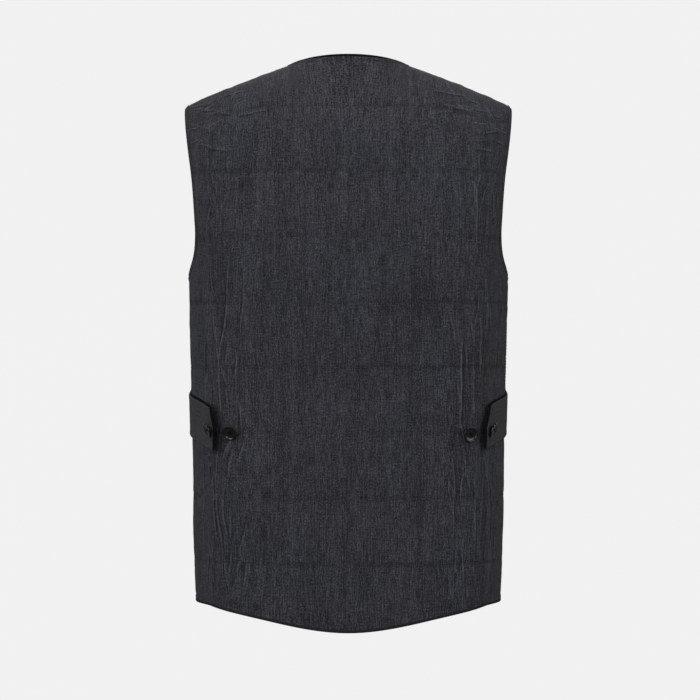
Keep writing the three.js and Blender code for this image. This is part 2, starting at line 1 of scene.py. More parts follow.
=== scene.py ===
import math

import bpy
import numpy as np
from mathutils import Matrix, Vector
from mathutils.kdtree import KDTree


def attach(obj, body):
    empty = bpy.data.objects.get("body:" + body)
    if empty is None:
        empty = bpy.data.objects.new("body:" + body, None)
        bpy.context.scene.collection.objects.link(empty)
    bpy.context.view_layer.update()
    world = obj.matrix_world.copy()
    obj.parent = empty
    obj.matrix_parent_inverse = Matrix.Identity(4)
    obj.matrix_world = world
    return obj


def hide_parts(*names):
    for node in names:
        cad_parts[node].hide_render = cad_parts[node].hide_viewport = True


bl_info = {
    "name": "Quilted vest",
    "version": (1, 0, 0),
    "blender": (4, 5, 0),
    "location": "3D View > Sidebar > Vest",
    "description": "Makes a sleeveless quilted vest with side tabs and buttons, and its studio",
    "category": "Object",
}

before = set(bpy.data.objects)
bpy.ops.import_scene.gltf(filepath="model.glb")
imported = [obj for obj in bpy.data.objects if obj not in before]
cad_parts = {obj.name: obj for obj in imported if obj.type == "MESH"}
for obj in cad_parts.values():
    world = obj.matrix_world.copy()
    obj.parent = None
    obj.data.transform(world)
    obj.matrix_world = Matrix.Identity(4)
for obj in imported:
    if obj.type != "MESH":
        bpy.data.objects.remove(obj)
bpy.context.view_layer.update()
MM = 0.001  # tables of small sizes are in millimetres

# ------------------------------------------------------------------ the vest's form, in metres

QUILT_THICKNESS = 0.004
NECK_BACK = 0.0254
NECK_POINT = 0.0198
SHOULDER_TIP = -0.029
YOKE = -0.100
SCOOP_TOP = -0.165
ARMPIT = -0.235
V_CORNER = -0.262
HEM_SIDE = -0.6185
NECK_HALF_WIDTH = 0.068
NECK_POINT_DEPTH = 0.012
NECK_BACK_DEPTH = 0.062
SHOULDER_HALF_WIDTH = 0.1945
SHOULDER_DROOP = 0.0024  # the tip's corner is rounded over by this much
DROOP_START = 0.965
SHOULDER_RISE = 0.0014
NECK_SHARE = 5 / 18
LAP = 0.028
V_AT_YOKE = 0.040
V_CURVE = 0.93
TUCK = 0.0048
TUCK_RUN = 0.034
BINDING_WIDTH = 0.0025

BODY_COLUMNS = ("height", "half_width", "back", "front")
BODY = (
    (-660, 181.4, 112, 115),
    (-618, 182.2, 113, 116),
    (-520, 185.2, 112, 118),
    (-440, 186.0, 110, 119),
    (-385, 187.4, 110, 120),
    (-300, 189.6, 112, 122),
    (-235, 190.8, 116, 121),
    (-215, 190.4, 116, 119),
    (-187, 192.8, 115, 115),
    (-165, 195.6, 113, 111),
    (-100, 200.2, 105, 94),
)

# How half a ring turns from the centre line to the side line: degrees, and from and to as shares
BACK_TURNS = ((10, 0, 0.45), (57, 0.42, 0.72), (23, 0.8, 1))
FRONT_TURNS = ((16, 0, 0.45), (46, 0.34, 0.8), (28, 0.7, 1))
RING_STEPS = 160
BUNCHING = 3  # how closely the columns bunch toward a cut edge
STANDING_PULL = 0.9  # the pull toward the top line where the yoke stands upright
QUARTER_ROUND = 1.657  # a Hermite handle that makes a quarter circle, over its radius

TAB = {
    "width": 0.048,
    "thickness": 0.0014,
    "slope": math.radians(10),
    "height": -0.396,
    "base": 0.048,
    "reach": {"left": 0.100, "right": 0.091},
    "set_back": {"left": (0.012, -0.001), "right": (0.015, -0.001)},  # at the top, at the bottom
    "lift_base": 0.0005,
    "lift_end": {"left": 0.011, "right": 0.0065},
    "lift_twist": 0.003,
    "lift_power": 5,
}
FACING = {"thickness": 0.0009, "showing": 0.0028, "gap": 0.0003}

# Fine grid: steps across half a ring, from the hem to the yoke line, and over the yoke. The inner
# wall takes every third line.
COLUMNS = 132
RING_ROWS = 252
YOKE_ROWS = 60
INNER_STEP = 3

# How the level quilting lines over the yoke dip toward the armhole
LINE_SAG = {"depth": 0.015, "start": 0.09, "end": 0.19, "lift": 0.004, "fade": 0.055}

# Creases in the cloth, in millimetres: from and to as distance round the cloth from the centre
# line (the wearer's left is plus) and height, then half width and height of the ridge
BACK_CREASES = (
    (164, -264, 165, -230, 2.8, 0.5),
    (161, -301, 164, -262, 3.0, 1.0),
    (154, -315, 161, -298, 3.0, 1.0),
    (155, -334, 156, -312, 3.0, 0.8),
    (141, -276, 141, -222, 3.0, 0.6),
    (145, -301, 141, -270, 3.2, 0.9),
    (151, -319, 145, -298, 3.2, 0.8),
    (154, -347, 151, -316, 3.2, 1.0),
    (151, -394, 154, -341, 3.4, 1.1),
    (121, -264, 119, -224, 3.6, 0.45),
    (126, -300, 121, -258, 3.4, 0.6),
    (181, -374, 178, -328, 3.2, 0.7),
    (132, -322, 129, -420, 5.0, 0.4),
    (184, -296, 182, -384, 4.0, 0.6),
    (178, -430, 173, -466, 3.0, 0.8),
    (167, -466, 159, -545, 3.2, 0.9),
    (160, -476, 150, -562, 3.4, 0.7),
    (149, -486, 144, -540, 3.0, 0.7),
    (175, -556, 183, -596, 3.4, 0.9),
    (133, -505, 130, -590, 4.0, 0.4),
    (207, -50, 176, -46, 3.0, 1.2),
    (168, -49, 146, -42, 3.0, 0.8),
    (179, -24, 165, -12, 3.0, 0.9),
    (144, -15, 140, 1, 3.2, 0.7),
    (202, -73, 179, -65, 3.2, 0.6),
    (137, -26, 122, -22, 3.0, 0.6),
    (-133, -305, -131, -416, 3.4, 1.0),
    (-146, -326, -150, -404, 3.0, 0.7),
    (-160, -290, -157, -352, 3.0, 0.8),
    (-150, -128, -152, -198, 3.0, 0.8),
    (-172, -246, -168, -306, 3.0, 0.7),
    (-122, -436, -124, -524, 4.0, 0.5),
    (-165, -446, -160, -524, 3.2, 0.8),
    (-152, -466, -148, -566, 3.4, 0.7),
    (-176, -536, -179, -602, 3.4, 0.8),
    (-175, -48, -206, -57, 3.0, 1.1),
    (-146, -47, -168, -45, 3.0, 0.8),
    (-170, -20, -179, -34, 3.0, 0.9),
    (-121, 4, -131, -9, 3.2, 0.7),
    (-200, -76, -176, -70, 3.2, 0.5),
)
# Zones of short creases: from and to round the cloth, from and to in height, their number, their
# slant in degrees from upright, their length and their height, in millimetres
CREASED_ZONES = (
    (120, 200, -400, -240, 16, 3, 34, 0.7),
    (118, 200, -610, -420, 26, -5, 34, 0.8),
    (-200, -120, -400, -240, 13, -3, 34, 0.6),
    (-200, -118, -610, -420, 26, 5, 34, 0.7),
    (110, 190, -90, 0, 12, 80, 30, 0.8),
    (-190, -110, -90, 0, 12, 100, 30, 0.7),
    (-110, 110, -600, -130, 22, 0, 26, 0.35),
    (140, 190, -220, -100, 8, 8, 28, 0.5),
    (-190, -140, -220, -100, 8, -8, 28, 0.5),
    (162, 204, -560, -150, 22, 0, 70, 0.55),
    (-204, -162, -560, -150, 20, 0, 70, 0.50),
)
FRONT_CREASES = (
    (150, -250, 155, -312, 3.2, 0.9),
    (133, -300, 130, -380, 3.4, 0.7),
    (163, -330, 160, -392, 3.2, 0.8),
    (148, -440, 141, -530, 3.4, 0.8),
    (166, -470, 172, -560, 3.2, 0.7),
    (112, -150, 96, -230, 4.0, 0.5),
    (160, -64, 132, -50, 3.4, 0.7),
    (-152, -262, -148, -330, 3.2, 0.8),
    (-128, -320, -131, -404, 3.6, 0.6),
    (-166, -350, -162, -420, 3.2, 0.8),
    (-145, -452, -152, -548, 3.4, 0.8),
    (-168, -500, -164, -588, 3.2, 0.7),
    (-110, -160, -98, -240, 4.0, 0.5),
    (-162, -60, -130, -48, 3.4, 0.7),
)


# -------------------------------------------------------------------------------- properties


def length_property(name, description, default):
    """A length shown in the sidebar."""
    return bpy.props.FloatProperty(name=name, description=description, default=default, unit="LENGTH")


def colour_property(name, description, default):
    """A colour shown in the sidebar."""
    return bpy.props.FloatVectorProperty(
        name=name, description=description, default=default, subtype="COLOR", size=3
    )


class VestSizes(bpy.types.PropertyGroup):
    """Sizes of the quilting, the stitching, the edges and the buttons."""

    quilt_across: length_property("Quilting across", "Distance between two upright quilting lines", 0.082)
    quilt_down: length_property("Quilting down", "Distance between two level quilting lines", 0.076)
    quilt_top: length_property(
        "First level line", "Place of the top level quilting line on the cloth", -0.037
    )
    groove_depth: length_property("Groove depth", "How far a quilting line is drawn in", 0.0009)
    groove_width: length_property("Groove width", "Half width of a quilting line's groove", 0.0026)
    puff: length_property("Puff", "How far the padding stands out between the lines", 0.0007)
    stitch_length: length_property("Stitch length", "Length of one stitch", 0.0026)
    stitch_pitch: length_property("Stitch pitch", "Distance from one stitch to the next", 0.0038)
    edge_stitch: length_property(
        "Edge stitching", "Distance of the edge stitching from the cloth's edge", 0.0048
    )
    button_radius: length_property("Button radius", "Outer radius of a button", 0.0088)
    button_thickness: length_property("Button thickness", "Thickness of a button at its rim", 0.0030)


class VestColours(bpy.types.PropertyGroup):
    """Colours of the cloth, the edges, the thread and the buttons."""

    cloth: colour_property("Quilted cloth", "Mean colour of the quilted linen", (0.0335, 0.0348, 0.0412))
    tab_cloth: colour_property("Tab cloth", "Mean colour of the tabs", (0.0390, 0.0380, 0.0430))
    edging: colour_property(
        "Edging", "Colour of the neck binding and the tabs' facings", (0.0028, 0.0028, 0.0033)
    )
    self_binding: colour_property(
        "Hem and armhole binding",
        "Colour of the bindings of the hem and the armholes",
        (0.0180, 0.0183, 0.0210),
    )
    thread: colour_property("Thread", "Colour of the stitching thread", (0.0200, 0.0205, 0.0240))
    horn: colour_property("Buttons", "Darkest colour of the buttons", (0.0034, 0.0028, 0.0025))


# ------------------------------------------------------------------------------- form, worked out


def smoothstep(value, start, end):
    t = np.clip((value - start) / (end - start), 0.0, 1.0)
    return t * t * (3.0 - 2.0 * t)


def lerp(start, end, t):
    return start + (end - start) * t


def hermite(start, leaving, end, arriving, t):
    t2 = t * t
    t3 = t2 * t
    ends = (2 * t3 - 3 * t2 + 1) * start + (3 * t2 - 2 * t3) * end
    return ends + (t3 - 2 * t2 + t) * leaving + (t3 - t2) * arriving


def curve(column):
    """A smooth curve through one column of BODY, with no overshoot between its rows."""
    place = BODY_COLUMNS.index(column)
    at = np.array([row[0] for row in BODY]) * MM
    value = np.array([row[place] for row in BODY]) * MM
    chord = np.diff(value) / np.diff(at)
    slope = np.empty_like(value)
    slope[0], slope[-1] = chord[0], chord[-1]
    before, after = chord[:-1], chord[1:]
    same_way = before * after > 0
    total = np.where(same_way, before + after, 1.0)
    slope[1:-1] = np.where(same_way, 2 * before * after / total, 0.0)

    def value_at(height):
        place = np.clip(height, at[0], at[-1])
        i = np.clip(np.searchsorted(at, place) - 1, 0, len(at) - 2)
        span = at[i + 1] - at[i]
        t = (place - at[i]) / span
        return hermite(value[i], slope[i] * span, value[i + 1], slope[i + 1] * span, t)

    return value_at


half_width_at = curve("half_width")


def shoulder_place(share):
    bow = SHOULDER_RISE * np.sin(math.pi * share)
    x = lerp(NECK_HALF_WIDTH, SHOULDER_HALF_WIDTH, share)
    y = lerp(NECK_POINT_DEPTH, 0.0, share)
    droop = SHOULDER_DROOP * np.clip((share - DROOP_START) / (1 - DROOP_START), 0.0, 1.0) ** 2
    return np.stack([x, y, lerp(NECK_POINT, SHOULDER_TIP, share) + bow - droop], axis=-1)


class Face:
    """One face of the body: its rings, and its yoke over the shoulder."""

    def __init__(self, outward, column, turns, reach, taper, bow, bow_share):
        self.outward = outward
        self.depth_at = curve(column)
        self.reach, self.taper = reach, taper
        self.bow, self.bow_share = bow, bow_share
        share = (np.arange(RING_STEPS) + 0.5) / RING_STEPS
        degrees = sum(turn * smoothstep(share, start, end) for turn, start, end in turns)
        heading = np.radians(degrees)
        out = np.concatenate([[0.0], np.cumsum(np.cos(heading))])
        forward = np.concatenate([[0.0], np.cumsum(np.sin(heading))])
        self.run = (out / out[-1], forward / forward[-1])

    def edge_depth(self, height):
        low = np.clip((height - ARMPIT) / (SCOOP_TOP - ARMPIT), 0.0, 1.0)
        high = np.clip((height - SCOOP_TOP) / (YOKE - SCOOP_TOP), 0.0, None)
        scoop = self.reach * np.sqrt(low * (2 - low))
        return np.where(height <= ARMPIT, 0.0, np.where(low < 1, scoop, self.reach - self.taper * high**2))

    def ring(self, height):
        """The rings' points and their distances from the centre line, one row a height."""
        out, forward = self.run
        x = half_width_at(height)[:, None] * out
        y = self.depth_at(height)[:, None] * (1 - forward)
        steps = np.hypot(np.diff(x, axis=1), np.diff(y, axis=1))
        distance = np.concatenate([np.zeros((len(x), 1)), np.cumsum(steps, axis=1)], axis=1)
        return x, y, distance

    def ring_length(self, height):
        height = np.atleast_1d(np.asarray(height, dtype=float))
        _, y, distance = self.ring(height)
        edge = self.edge_depth(height)
        lengths = [np.interp(-e, -row_y, row_d) for e, row_y, row_d in zip(edge, y, distance)]
        return np.array(lengths)

    def ring_place(self, height, distance):
        x, y, at = self.ring(height)
        wanted = np.abs(distance)
        i = np.clip((at < wanted[:, None]).sum(axis=1) - 1, 0, RING_STEPS - 1)
        row = np.arange(len(i))
        share = (wanted - at[row, i]) / (at[row, i + 1] - at[row, i])
        px = lerp(x[row, i], x[row, i + 1], share) * np.sign(distance)
        py = lerp(y[row, i], y[row, i + 1], share) * self.outward
        return np.stack([px, py, height], axis=-1)

    def inner(self, height):
        if self.outward > 0:
            return 0.0 * height
        climb = np.clip((height - V_CORNER) / (YOKE - V_CORNER), 0.0, None)
        return np.where(height <= V_CORNER, -LAP / 2, lerp(-LAP / 2, V_AT_YOKE, climb**V_CURVE))

    def column_distance(self, height, across):
        whole = self.ring_length(min(height, ARMPIT))[0]
        cut_outside = whole - self.ring_length(height)[0]
        start = self.inner(np.array(V_CORNER))
        cut_inside = self.inner(np.array(height)) - start
        plain = lerp(start, whole, across)
        return plain + cut_inside * (1 - across) ** BUNCHING - cut_outside * across**BUNCHING

    def ring_row(self, height, across):
        """A row of the panel: its points, and their distances round the cloth."""
        distance = self.column_distance(height, across)
        share = np.abs(distance) / self.ring_length(height)[0]
        hang = 1 - smoothstep(share, 0.0, self.bow_share)
        bow = max(0.0, (V_CORNER - height) / (V_CORNER - HEM_SIDE))
        heights = height - bow * self.bow * hang
        return self.ring_place(heights, distance), distance

    def top(self, across):
        neck_share = NECK_SHARE if self.outward > 0 else 0.0
        edges = self.column_distance(YOKE, np.array([neck_share, 1.0]))
        share = (self.column_distance(YOKE, across) - edges[0]) / (edges[1] - edges[0])
        place = shoulder_place(share)
        if self.outward < 0:
            return place, np.ones_like(across)
        angle = 0.5 * math.pi * np.clip(across / NECK_SHARE, 0.0, 1.0)
        neck = np.stack(
            [
                NECK_HALF_WIDTH * np.sin(angle),
                lerp(NECK_POINT_DEPTH, NECK_BACK_DEPTH, np.cos(angle)),
                lerp(NECK_POINT, NECK_BACK, np.cos(angle) ** 2),
            ],
            axis=-1,
        )
        place = np.where((across < NECK_SHARE)[:, None], neck, place)
        return place, smoothstep(across, 0.0, NECK_SHARE)

    def yoke_row(self, yoke, across):
        foot, distance = self.ring_row(YOKE, across)
        below, _ = self.ring_row(YOKE - MM, across)
        top, turn = self.top(across)
        rise = top[:, 2] - foot[:, 2]
        leaving = (foot - below) / MM * (rise * lerp(1.0, QUARTER_ROUND, turn))[:, None]
        arriving = np.stack(
            [
                (top[:, 0] - foot[:, 0]) * (1 - turn),
                (top[:, 1] - foot[:, 1]) * lerp(STANDING_PULL, QUARTER_ROUND, turn),
                rise * (1 - turn),
            ],
            axis=-1,
        )
        return hermite(foot, leaving, top, arriving, yoke), distance


BACK = Face(1, "back", BACK_TURNS, 0.054, 0.007, 0.0275, 0.76)
FRONT = Face(-1, "front", FRONT_TURNS, 0.064, 0.014, 0.018, 1.0)


class Grid:
    """A piece of cloth as rows of points, with its normals and its own cloth coordinates."""

    def __init__(self, points, across, along):
        self.points = points
        self.across = across
        self.along = along
        self.normals = self.slopes_normal(points)

    @staticmethod
    def slopes_normal(points):
        rows = np.gradient(points, axis=0)
        columns = np.gradient(points, axis=1)
        normal = np.cross(columns, rows)
        return normal / np.linalg.norm(normal, axis=2, keepdims=True)


def panel_grid(face):
    """Half a panel, from its inner edge to the side seam on the wearer's left."""
    across = np.linspace(0.0, 1.0, COLUMNS + 1)
    points, distances, along = [], [], []
    for height in np.linspace(HEM_SIDE, YOKE, RING_ROWS + 1):
        row, distance = face.ring_row(height, across)
        points.append(row)
        distances.append(distance)
        along.append(row[:, 2])
    for yoke in np.linspace(0.0, 1.0, YOKE_ROWS + 1)[1:]:
        row, distance = face.yoke_row(yoke, across)
        along.append(along[-1] + np.linalg.norm(row - points[-1], axis=1))
        points.append(row)
        distances.append(distance)
    points, distances, along = np.array(points), np.array(distances), np.array(along)
    sag = LINE_SAG["depth"] * smoothstep(distances, LINE_SAG["start"], LINE_SAG["end"]) - LINE_SAG["lift"]
    return points, distances, along + sag * smoothstep(along, YOKE, YOKE + LINE_SAG["fade"])


def back_panel_grid():
    """The whole back, with columns to the right as it is seen from behind."""
    points, distance, along = panel_grid(BACK)
    flip = np.array([-1.0, 1.0, 1.0])
    points = np.concatenate([points[:, :0:-1], points * flip], axis=1)
    distance = np.concatenate([distance[:, :0:-1], -distance], axis=1)
    along = np.concatenate([along[:, :0:-1], along], axis=1)
    return Grid(points, distance, along)


def front_panel_grid(side):
    """One front, with columns to the right as it is seen from in front."""
    points, distance, along = panel_grid(FRONT)
    if side == "left":
        return Grid(points, distance, along)
    points = points[:, ::-1] * np.array([-1.0, 1.0, 1.0])
    grid = Grid(points, -distance[:, ::-1], along[:, ::-1])
    x, z = points[..., 0], points[..., 2]
    along_ring = smoothstep(-x, LAP / 2 + 0.004, LAP / 2 + 0.004 + TUCK_RUN)
    up_the_v = smoothstep(z, V_CORNER + 0.060, YOKE)
    tuck = TUCK * (1 - along_ring) * (1 - up_the_v)
    grid.points = points - grid.normals * tuck[..., None]
    return grid


# --------------------------------------------------------------------------------- the relief

# Layers of noise: the cell round the cloth and up it in metres, and the height in millimetres. The
# ripples also have what is added to their height at the sides and low down.
RIPPLES = (
    (0.0065, 0.048, 0.20, 0.28, 0.10),
    (0.012, 0.080, 0.28, 0.40, 0.18),
)
RUMPLES = (
    (0.030, 0.036, 0.5),
    (0.085, 0.110, 0.8),
)
CRINKLE = (0.0055, 0.0085, 0.14)
# The same for how far a crease wanders, in metres
CREASE_WANDER = (
    (0.030, 0.034, 0.0016),
    (0.012, 0.009, 0.0005),
)
# The creases are made narrower and higher than their tables say, by these factors
CREASE_NARROWING = 0.62
CREASE_LIFT = 1.1
CREASE_REACH = 0.0034  # how far from a crease the painted light and shade reach
SMALL_CREASE_WIDTH = 2.6
SMALL_CREASE_TURN = 16  # degrees either way from its zone's slant
GATHER = {"long": 0.016, "short": 0.0062, "reach": 0.009, "height": 0.34}  # puckers along the lines
PUFF_EDGE = 0.018  # how far from a line the padding takes to fill out
SEAM_FADE = 0.016
SEAM_DIP = {"depth": 0.0009, "width": 0.0024}
EDGE_RIDGE = 0.0005  # the fold beside a binding, and the dip of its stitching
FARTHEST = 0.030  # distances to seams and edges are measured up to this


def cloth_noise(u, v, cell_u, cell_v, seed):
    """Smooth noise from -1 to 1 over the cloth, with one random value a cell."""
    size = 64
    table = np.random.default_rng(seed).uniform(-1.0, 1.0, (size, size))
    a, b = u / cell_u + size * 8, v / cell_v + size * 8
    i, j = np.floor(a).astype(int), np.floor(b).astype(int)
    s, t = smoothstep(a - i, 0.0, 1.0), smoothstep(b - j, 0.0, 1.0)
    i0, j0, i1, j1 = i % size, j % size, (i + 1) % size, (j + 1) % size
    low = lerp(table[j0, i0], table[j0, i1], s)
    high = lerp(table[j1, i0], table[j1, i1], s)
    return lerp(low, high, t)


def layered_noise(u, v, layers, seed):
    """Layers of cloth noise added up, each with a seed one higher."""
    noises = [cloth_noise(u, v, *cells, seed + k) * height for k, (*cells, height) in enumerate(layers)]
    return sum(noises)


def hump(value, width):
    """A smooth hump round 0."""
    return np.exp(-((value / width) ** 2))


def line_distance(value, spacing, origin):
    """Signed distance to the nearest of evenly spaced lines."""
    return (value - origin + spacing / 2) % spacing - spacing / 2


def small_creases(seed):
    """Short creases scattered over the zones where the cloth crumples most."""
    random = np.random.default_rng(seed)
    rows = []
    for low_u, high_u, low_v, high_v, count, slant, length, height in CREASED_ZONES:
        for _ in range(count):
            u, v = random.uniform(low_u, high_u), random.uniform(low_v, high_v)
            angle = math.radians(slant + random.uniform(-SMALL_CREASE_TURN, SMALL_CREASE_TURN))
            run = length * random.uniform(0.5, 1.3) / 2
            du, dv = run * math.sin(angle), run * math.cos(angle)
            rise = height * random.uniform(0.4, 1.1)
            rows.append((u - du, v - dv, u + du, v + dv, SMALL_CREASE_WIDTH, rise))
    return tuple(rows)


def crease_fields(u, v, creases, seed):
    """The creases' relief, and the side and strength of the nearest one, which the finish turns into painted
    light and shade.

    Each is a soft ridge with a trough at each side, along a short wandering line.
    """
    wander = layered_noise(u, v, CREASE_WANDER, seed)
    relief, nearest, strength = np.zeros_like(u), np.zeros_like(u), np.zeros_like(u)
    for row in creases:
        u0, v0, u1, v1, width, height = (value * MM for value in row)
        width, height = width * CREASE_NARROWING, height * CREASE_LIFT
        run_u, run_v = u1 - u0, v1 - v0
        length = math.hypot(run_u, run_v)
        run_u, run_v = run_u / length, run_v / length
        along = ((u - u0) * run_u + (v - v0) * run_v) / length
        aside = (u - u0) * run_v - (v - v0) * run_u + wander
        fade = smoothstep(along, -0.12, 0.25) * (1 - smoothstep(along, 0.75, 1.12))
        shape = (aside / width) ** 2
        relief += height * fade * (1 - 0.8 * shape) * np.exp(-0.6 * shape)
        weight = height / MM * fade * hump(aside, CREASE_REACH)
        nearest = np.where(weight > strength, aside, nearest)
        strength = np.maximum(strength, weight)
    return relief, nearest, strength


def distance_to(points, line):
    """Distance of each point of a grid to a line given as dense points, up to FARTHEST."""
    tree = KDTree(len(line))
    for i, place in enumerate(line):
        tree.insert(place, i)
    tree.balance()
    near = np.full(points.shape[:2], FARTHEST)
    lo, hi = line.min(axis=0) - FARTHEST, line.max(axis=0) + FARTHEST
    for j, i in np.argwhere(((points > lo) & (points < hi)).all(axis=2)):
        near[j, i] = min(FARTHEST, tree.find(points[j, i])[2])
    return near


def dense(line):
    """The line's points with three more between each two."""
    parts = [lerp(line[:-1], line[1:], k / 4) for k in range(4)]
    return np.concatenate([np.stack(parts, axis=1).reshape(-1, 3), line[-1:]])


def quilt_relief(grid, creases, seed, seams, edges):
    """How far the outer face stands out from the smooth form, and the masks that the finish turns into
    painted light on crease crests and painted shade in their troughs and along the quilting lines.
    """
    sizes = bpy.context.scene.vest_sizes
    u, v = grid.across, grid.along
    to_upright = line_distance(u, sizes.quilt_across, 0.0)
    to_level = line_distance(v, sizes.quilt_down, sizes.quilt_top)
    to_level = to_level + cloth_noise(u, v, 0.050, 0.200, seed + 1) * 0.0008
    upright = hump(to_upright, sizes.groove_width)
    level = hump(to_level, sizes.groove_width)
    pull = 0.55 + 0.45 * cloth_noise(u, v, 0.060, 0.060, seed + 22)
    groove = np.maximum(upright, level) * pull
    cell = (1 - hump(to_upright, PUFF_EDGE)) * (1 - hump(to_level, PUFF_EDGE))
    long, short, reach = GATHER["long"], GATHER["short"], GATHER["reach"]
    gathered_u = cloth_noise(u, v, long, short, seed + 2) * hump(to_upright, reach)
    gathered_v = cloth_noise(u, v, short, long, seed + 3) * hump(to_level, reach)
    sides = smoothstep(np.abs(u), 0.085, 0.160)
    low = smoothstep(-v, 0.36, 0.56)
    layers = [(*cells, base + more * sides + lower * low) for *cells, base, more, lower in RIPPLES]
    ripples = layered_noise(u, v, layers, seed + 4)
    rumple = layered_noise(u, v, RUMPLES, seed + 6)
    crinkle = layered_noise(u, v, (CRINKLE,), seed + 8)
    relief = sizes.puff * cell - sizes.groove_depth * groove
    fine = MM * (GATHER["height"] * gathered_u + GATHER["height"] * gathered_v + ripples + crinkle)
    folds, side, strength = crease_fields(u, v, creases + small_creases(seed + 9), seed + 10)
    fine += folds
    to_seam = distance_to(grid.points, dense(seams))
    relief += fine + MM * rumple * smoothstep(to_seam, 0.004, FARTHEST)
    relief *= smoothstep(to_seam, 0.0, SEAM_FADE)
    relief -= SEAM_DIP["depth"] * hump(to_seam, SEAM_DIP["width"])
    for line in edges:
        to_edge = distance_to(grid.points, dense(line))
        relief *= smoothstep(to_edge, 0.003, 0.014)
        ridge = smoothstep(to_edge, 0.0, 0.0016) * (1 - smoothstep(to_edge, 0.0036, 0.0052))
        relief += EDGE_RIDGE * ridge - EDGE_RIDGE * hump(to_edge - sizes.edge_stitch - 0.0008, 0.0014)
        strength *= smoothstep(to_edge, 0.003, 0.012)
    # Masks for the painted light on crease crests and the painted shade beside them and along the quilting
    # lines
    painted_light_masks = {
        "fold_side": side / MM,
        "fold": strength * smoothstep(to_seam, 0.0, 0.009),
        "stitched": np.maximum(0.5 * upright, level) * pull,
    }
    return relief, painted_light_masks


# ---------------------------------------------------------------------------- making meshes


def link_piece(name, mesh, material):
    piece = bpy.data.objects.new(name, mesh)
    bpy.context.scene.collection.objects.link(piece)
    mesh.materials.append(material)
    return piece


def set_uv(mesh, uv):
    """Gives each vertex its cloth coordinates, in metres."""
    layer = mesh.uv_layers.new(name="cloth")
    corners = np.empty(len(mesh.loops), dtype=np.int32)
    mesh.loops.foreach_get("vertex_index", corners)
    layer.data.foreach_set("uv", uv[corners].ravel())


def set_attribute(mesh, name, values):
    """Gives each vertex a value that the finish reads."""
    layer = mesh.attributes.new(name, "FLOAT", "POINT")
    layer.data.foreach_set("value", values)


def strip_faces(first, second):
    """Quads between two lines of vertex numbers, facing the side where second lies left of first."""
    return [(first[i], first[i + 1], second[i + 1], second[i]) for i in range(len(first) - 1)]


def shell_mesh(name, outer, inner, uv, step):
    """A closed wall. The inner face has one line for each step lines of the outer one."""
    rows, columns = outer.shape[:2]
    numbers = np.arange(rows * columns).reshape(rows, columns)
    inside = inner[::step, ::step]
    lower = rows * columns + np.arange(inside.shape[0] * inside.shape[1]).reshape(inside.shape[:2])
    faces = []
    for j in range(rows - 1):
        faces += strip_faces(numbers[j].tolist(), numbers[j + 1].tolist())
    for j in range(lower.shape[0] - 1):
        faces += strip_faces(lower[j + 1].tolist(), lower[j].tolist())

    def rim(fine, coarse):
        for k in range(len(coarse) - 1):
            faces.append((*fine[k * step : (k + 1) * step + 1][::-1], coarse[k], coarse[k + 1]))

    rim(numbers[0].tolist(), lower[0].tolist())
    rim(numbers[-1, ::-1].tolist(), lower[-1, ::-1].tolist())
    rim(numbers[::-1, 0].tolist(), lower[::-1, 0].tolist())
    rim(numbers[:, -1].tolist(), lower[:, -1].tolist())
    mesh = bpy.data.meshes.new(name)
    places = np.concatenate([outer.reshape(-1, 3), inside.reshape(-1, 3)])
    mesh.from_pydata(places.tolist(), [], faces)
    set_uv(mesh, np.concatenate([uv.reshape(-1, 2), uv[::step, ::step].reshape(-1, 2)]))
    return mesh


def swept_mesh(name, path, normals, outward, section, closed):
    """A band that carries a section along a path. The section goes outward and up the normal."""
    count, sides = len(path), len(section)
    places = np.empty((count, sides, 3))
    for k, (out, up) in enumerate(section):
        places[:, k] = path + outward * out + normals * up
    numbers = np.arange(count * sides).reshape(count, sides)
    faces = []
    for i in range(count if closed else count - 1):
        this, that = numbers[i], numbers[(i + 1) % count]
        for k in range(sides):
            n = (k + 1) % sides
            faces.append((int(this[k]), int(this[n]), int(that[n]), int(that[k])))
    if not closed:
        faces.append(tuple(int(n) for n in numbers[0][::-1]))
        faces.append(tuple(int(n) for n in numbers[-1]))
    mesh = bpy.data.meshes.new(name)
    mesh.from_pydata(places.reshape(-1, 3).tolist(), [], faces)
    steps = np.linalg.norm(np.diff(path, axis=0), axis=1)
    along = np.concatenate([[0.0], np.cumsum(steps)])
    around = np.concatenate([[0.0], np.cumsum(np.hypot(*np.diff(np.array(section), axis=0).T))])
    uv = np.stack(np.broadcast_arrays(along[:, None], around[None, :]), axis=-1)
    set_uv(mesh, uv.reshape(-1, 2))
    return mesh


def copies_mesh(name, source, places):
    """One mesh with a copy of the source mesh at each placing matrix."""
    count = len(source.vertices)
    base = np.empty(count * 3)
    source.vertices.foreach_get("co", base)
    base = np.concatenate([base.reshape(-1, 3), np.ones((count, 1))], axis=1)
    polygons = [tuple(p.vertices) for p in source.polygons]
    vertices, faces = [], []
    for k, place in enumerate(places):
        vertices.append((base @ np.array(place).T)[:, :3])
        faces += [tuple(v + k * count for v in polygon) for polygon in polygons]
    mesh = bpy.data.meshes.new(name)
    mesh.from_pydata(np.concatenate(vertices).tolist(), [], faces)
    return mesh


def smooth(piece, degrees):
    bpy.ops.object.select_all(action="DESELECT")
    piece.select_set(True)
    bpy.context.view_layer.objects.active = piece
    bpy.ops.object.shade_smooth_by_angle(angle=math.radians(degrees))
    piece.select_set(False)


def finish_piece(piece, slot, *nodes):
    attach(piece, "root")
    if nodes:
        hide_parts(*nodes)
    return piece


# ---------------------------------------------------------------------------------- finishes


class Value:
    """A number socket that takes part in sums."""

    def __init__(self, finish, socket):
        self.finish = finish
        self.socket = socket

    def __add__(self, other):
        return self.finish.math("ADD", self, other)

    def __sub__(self, other):
        return self.finish.math("SUBTRACT", self, other)

    def __mul__(self, other):
        return self.finish.math("MULTIPLY", self, other)

    def __pow__(self, other):
        return self.finish.math("POWER", self, other)

    __radd__ = __add__
    __rmul__ = __mul__

    def __rpow__(self, other):
        return self.finish.math("POWER", other, self)


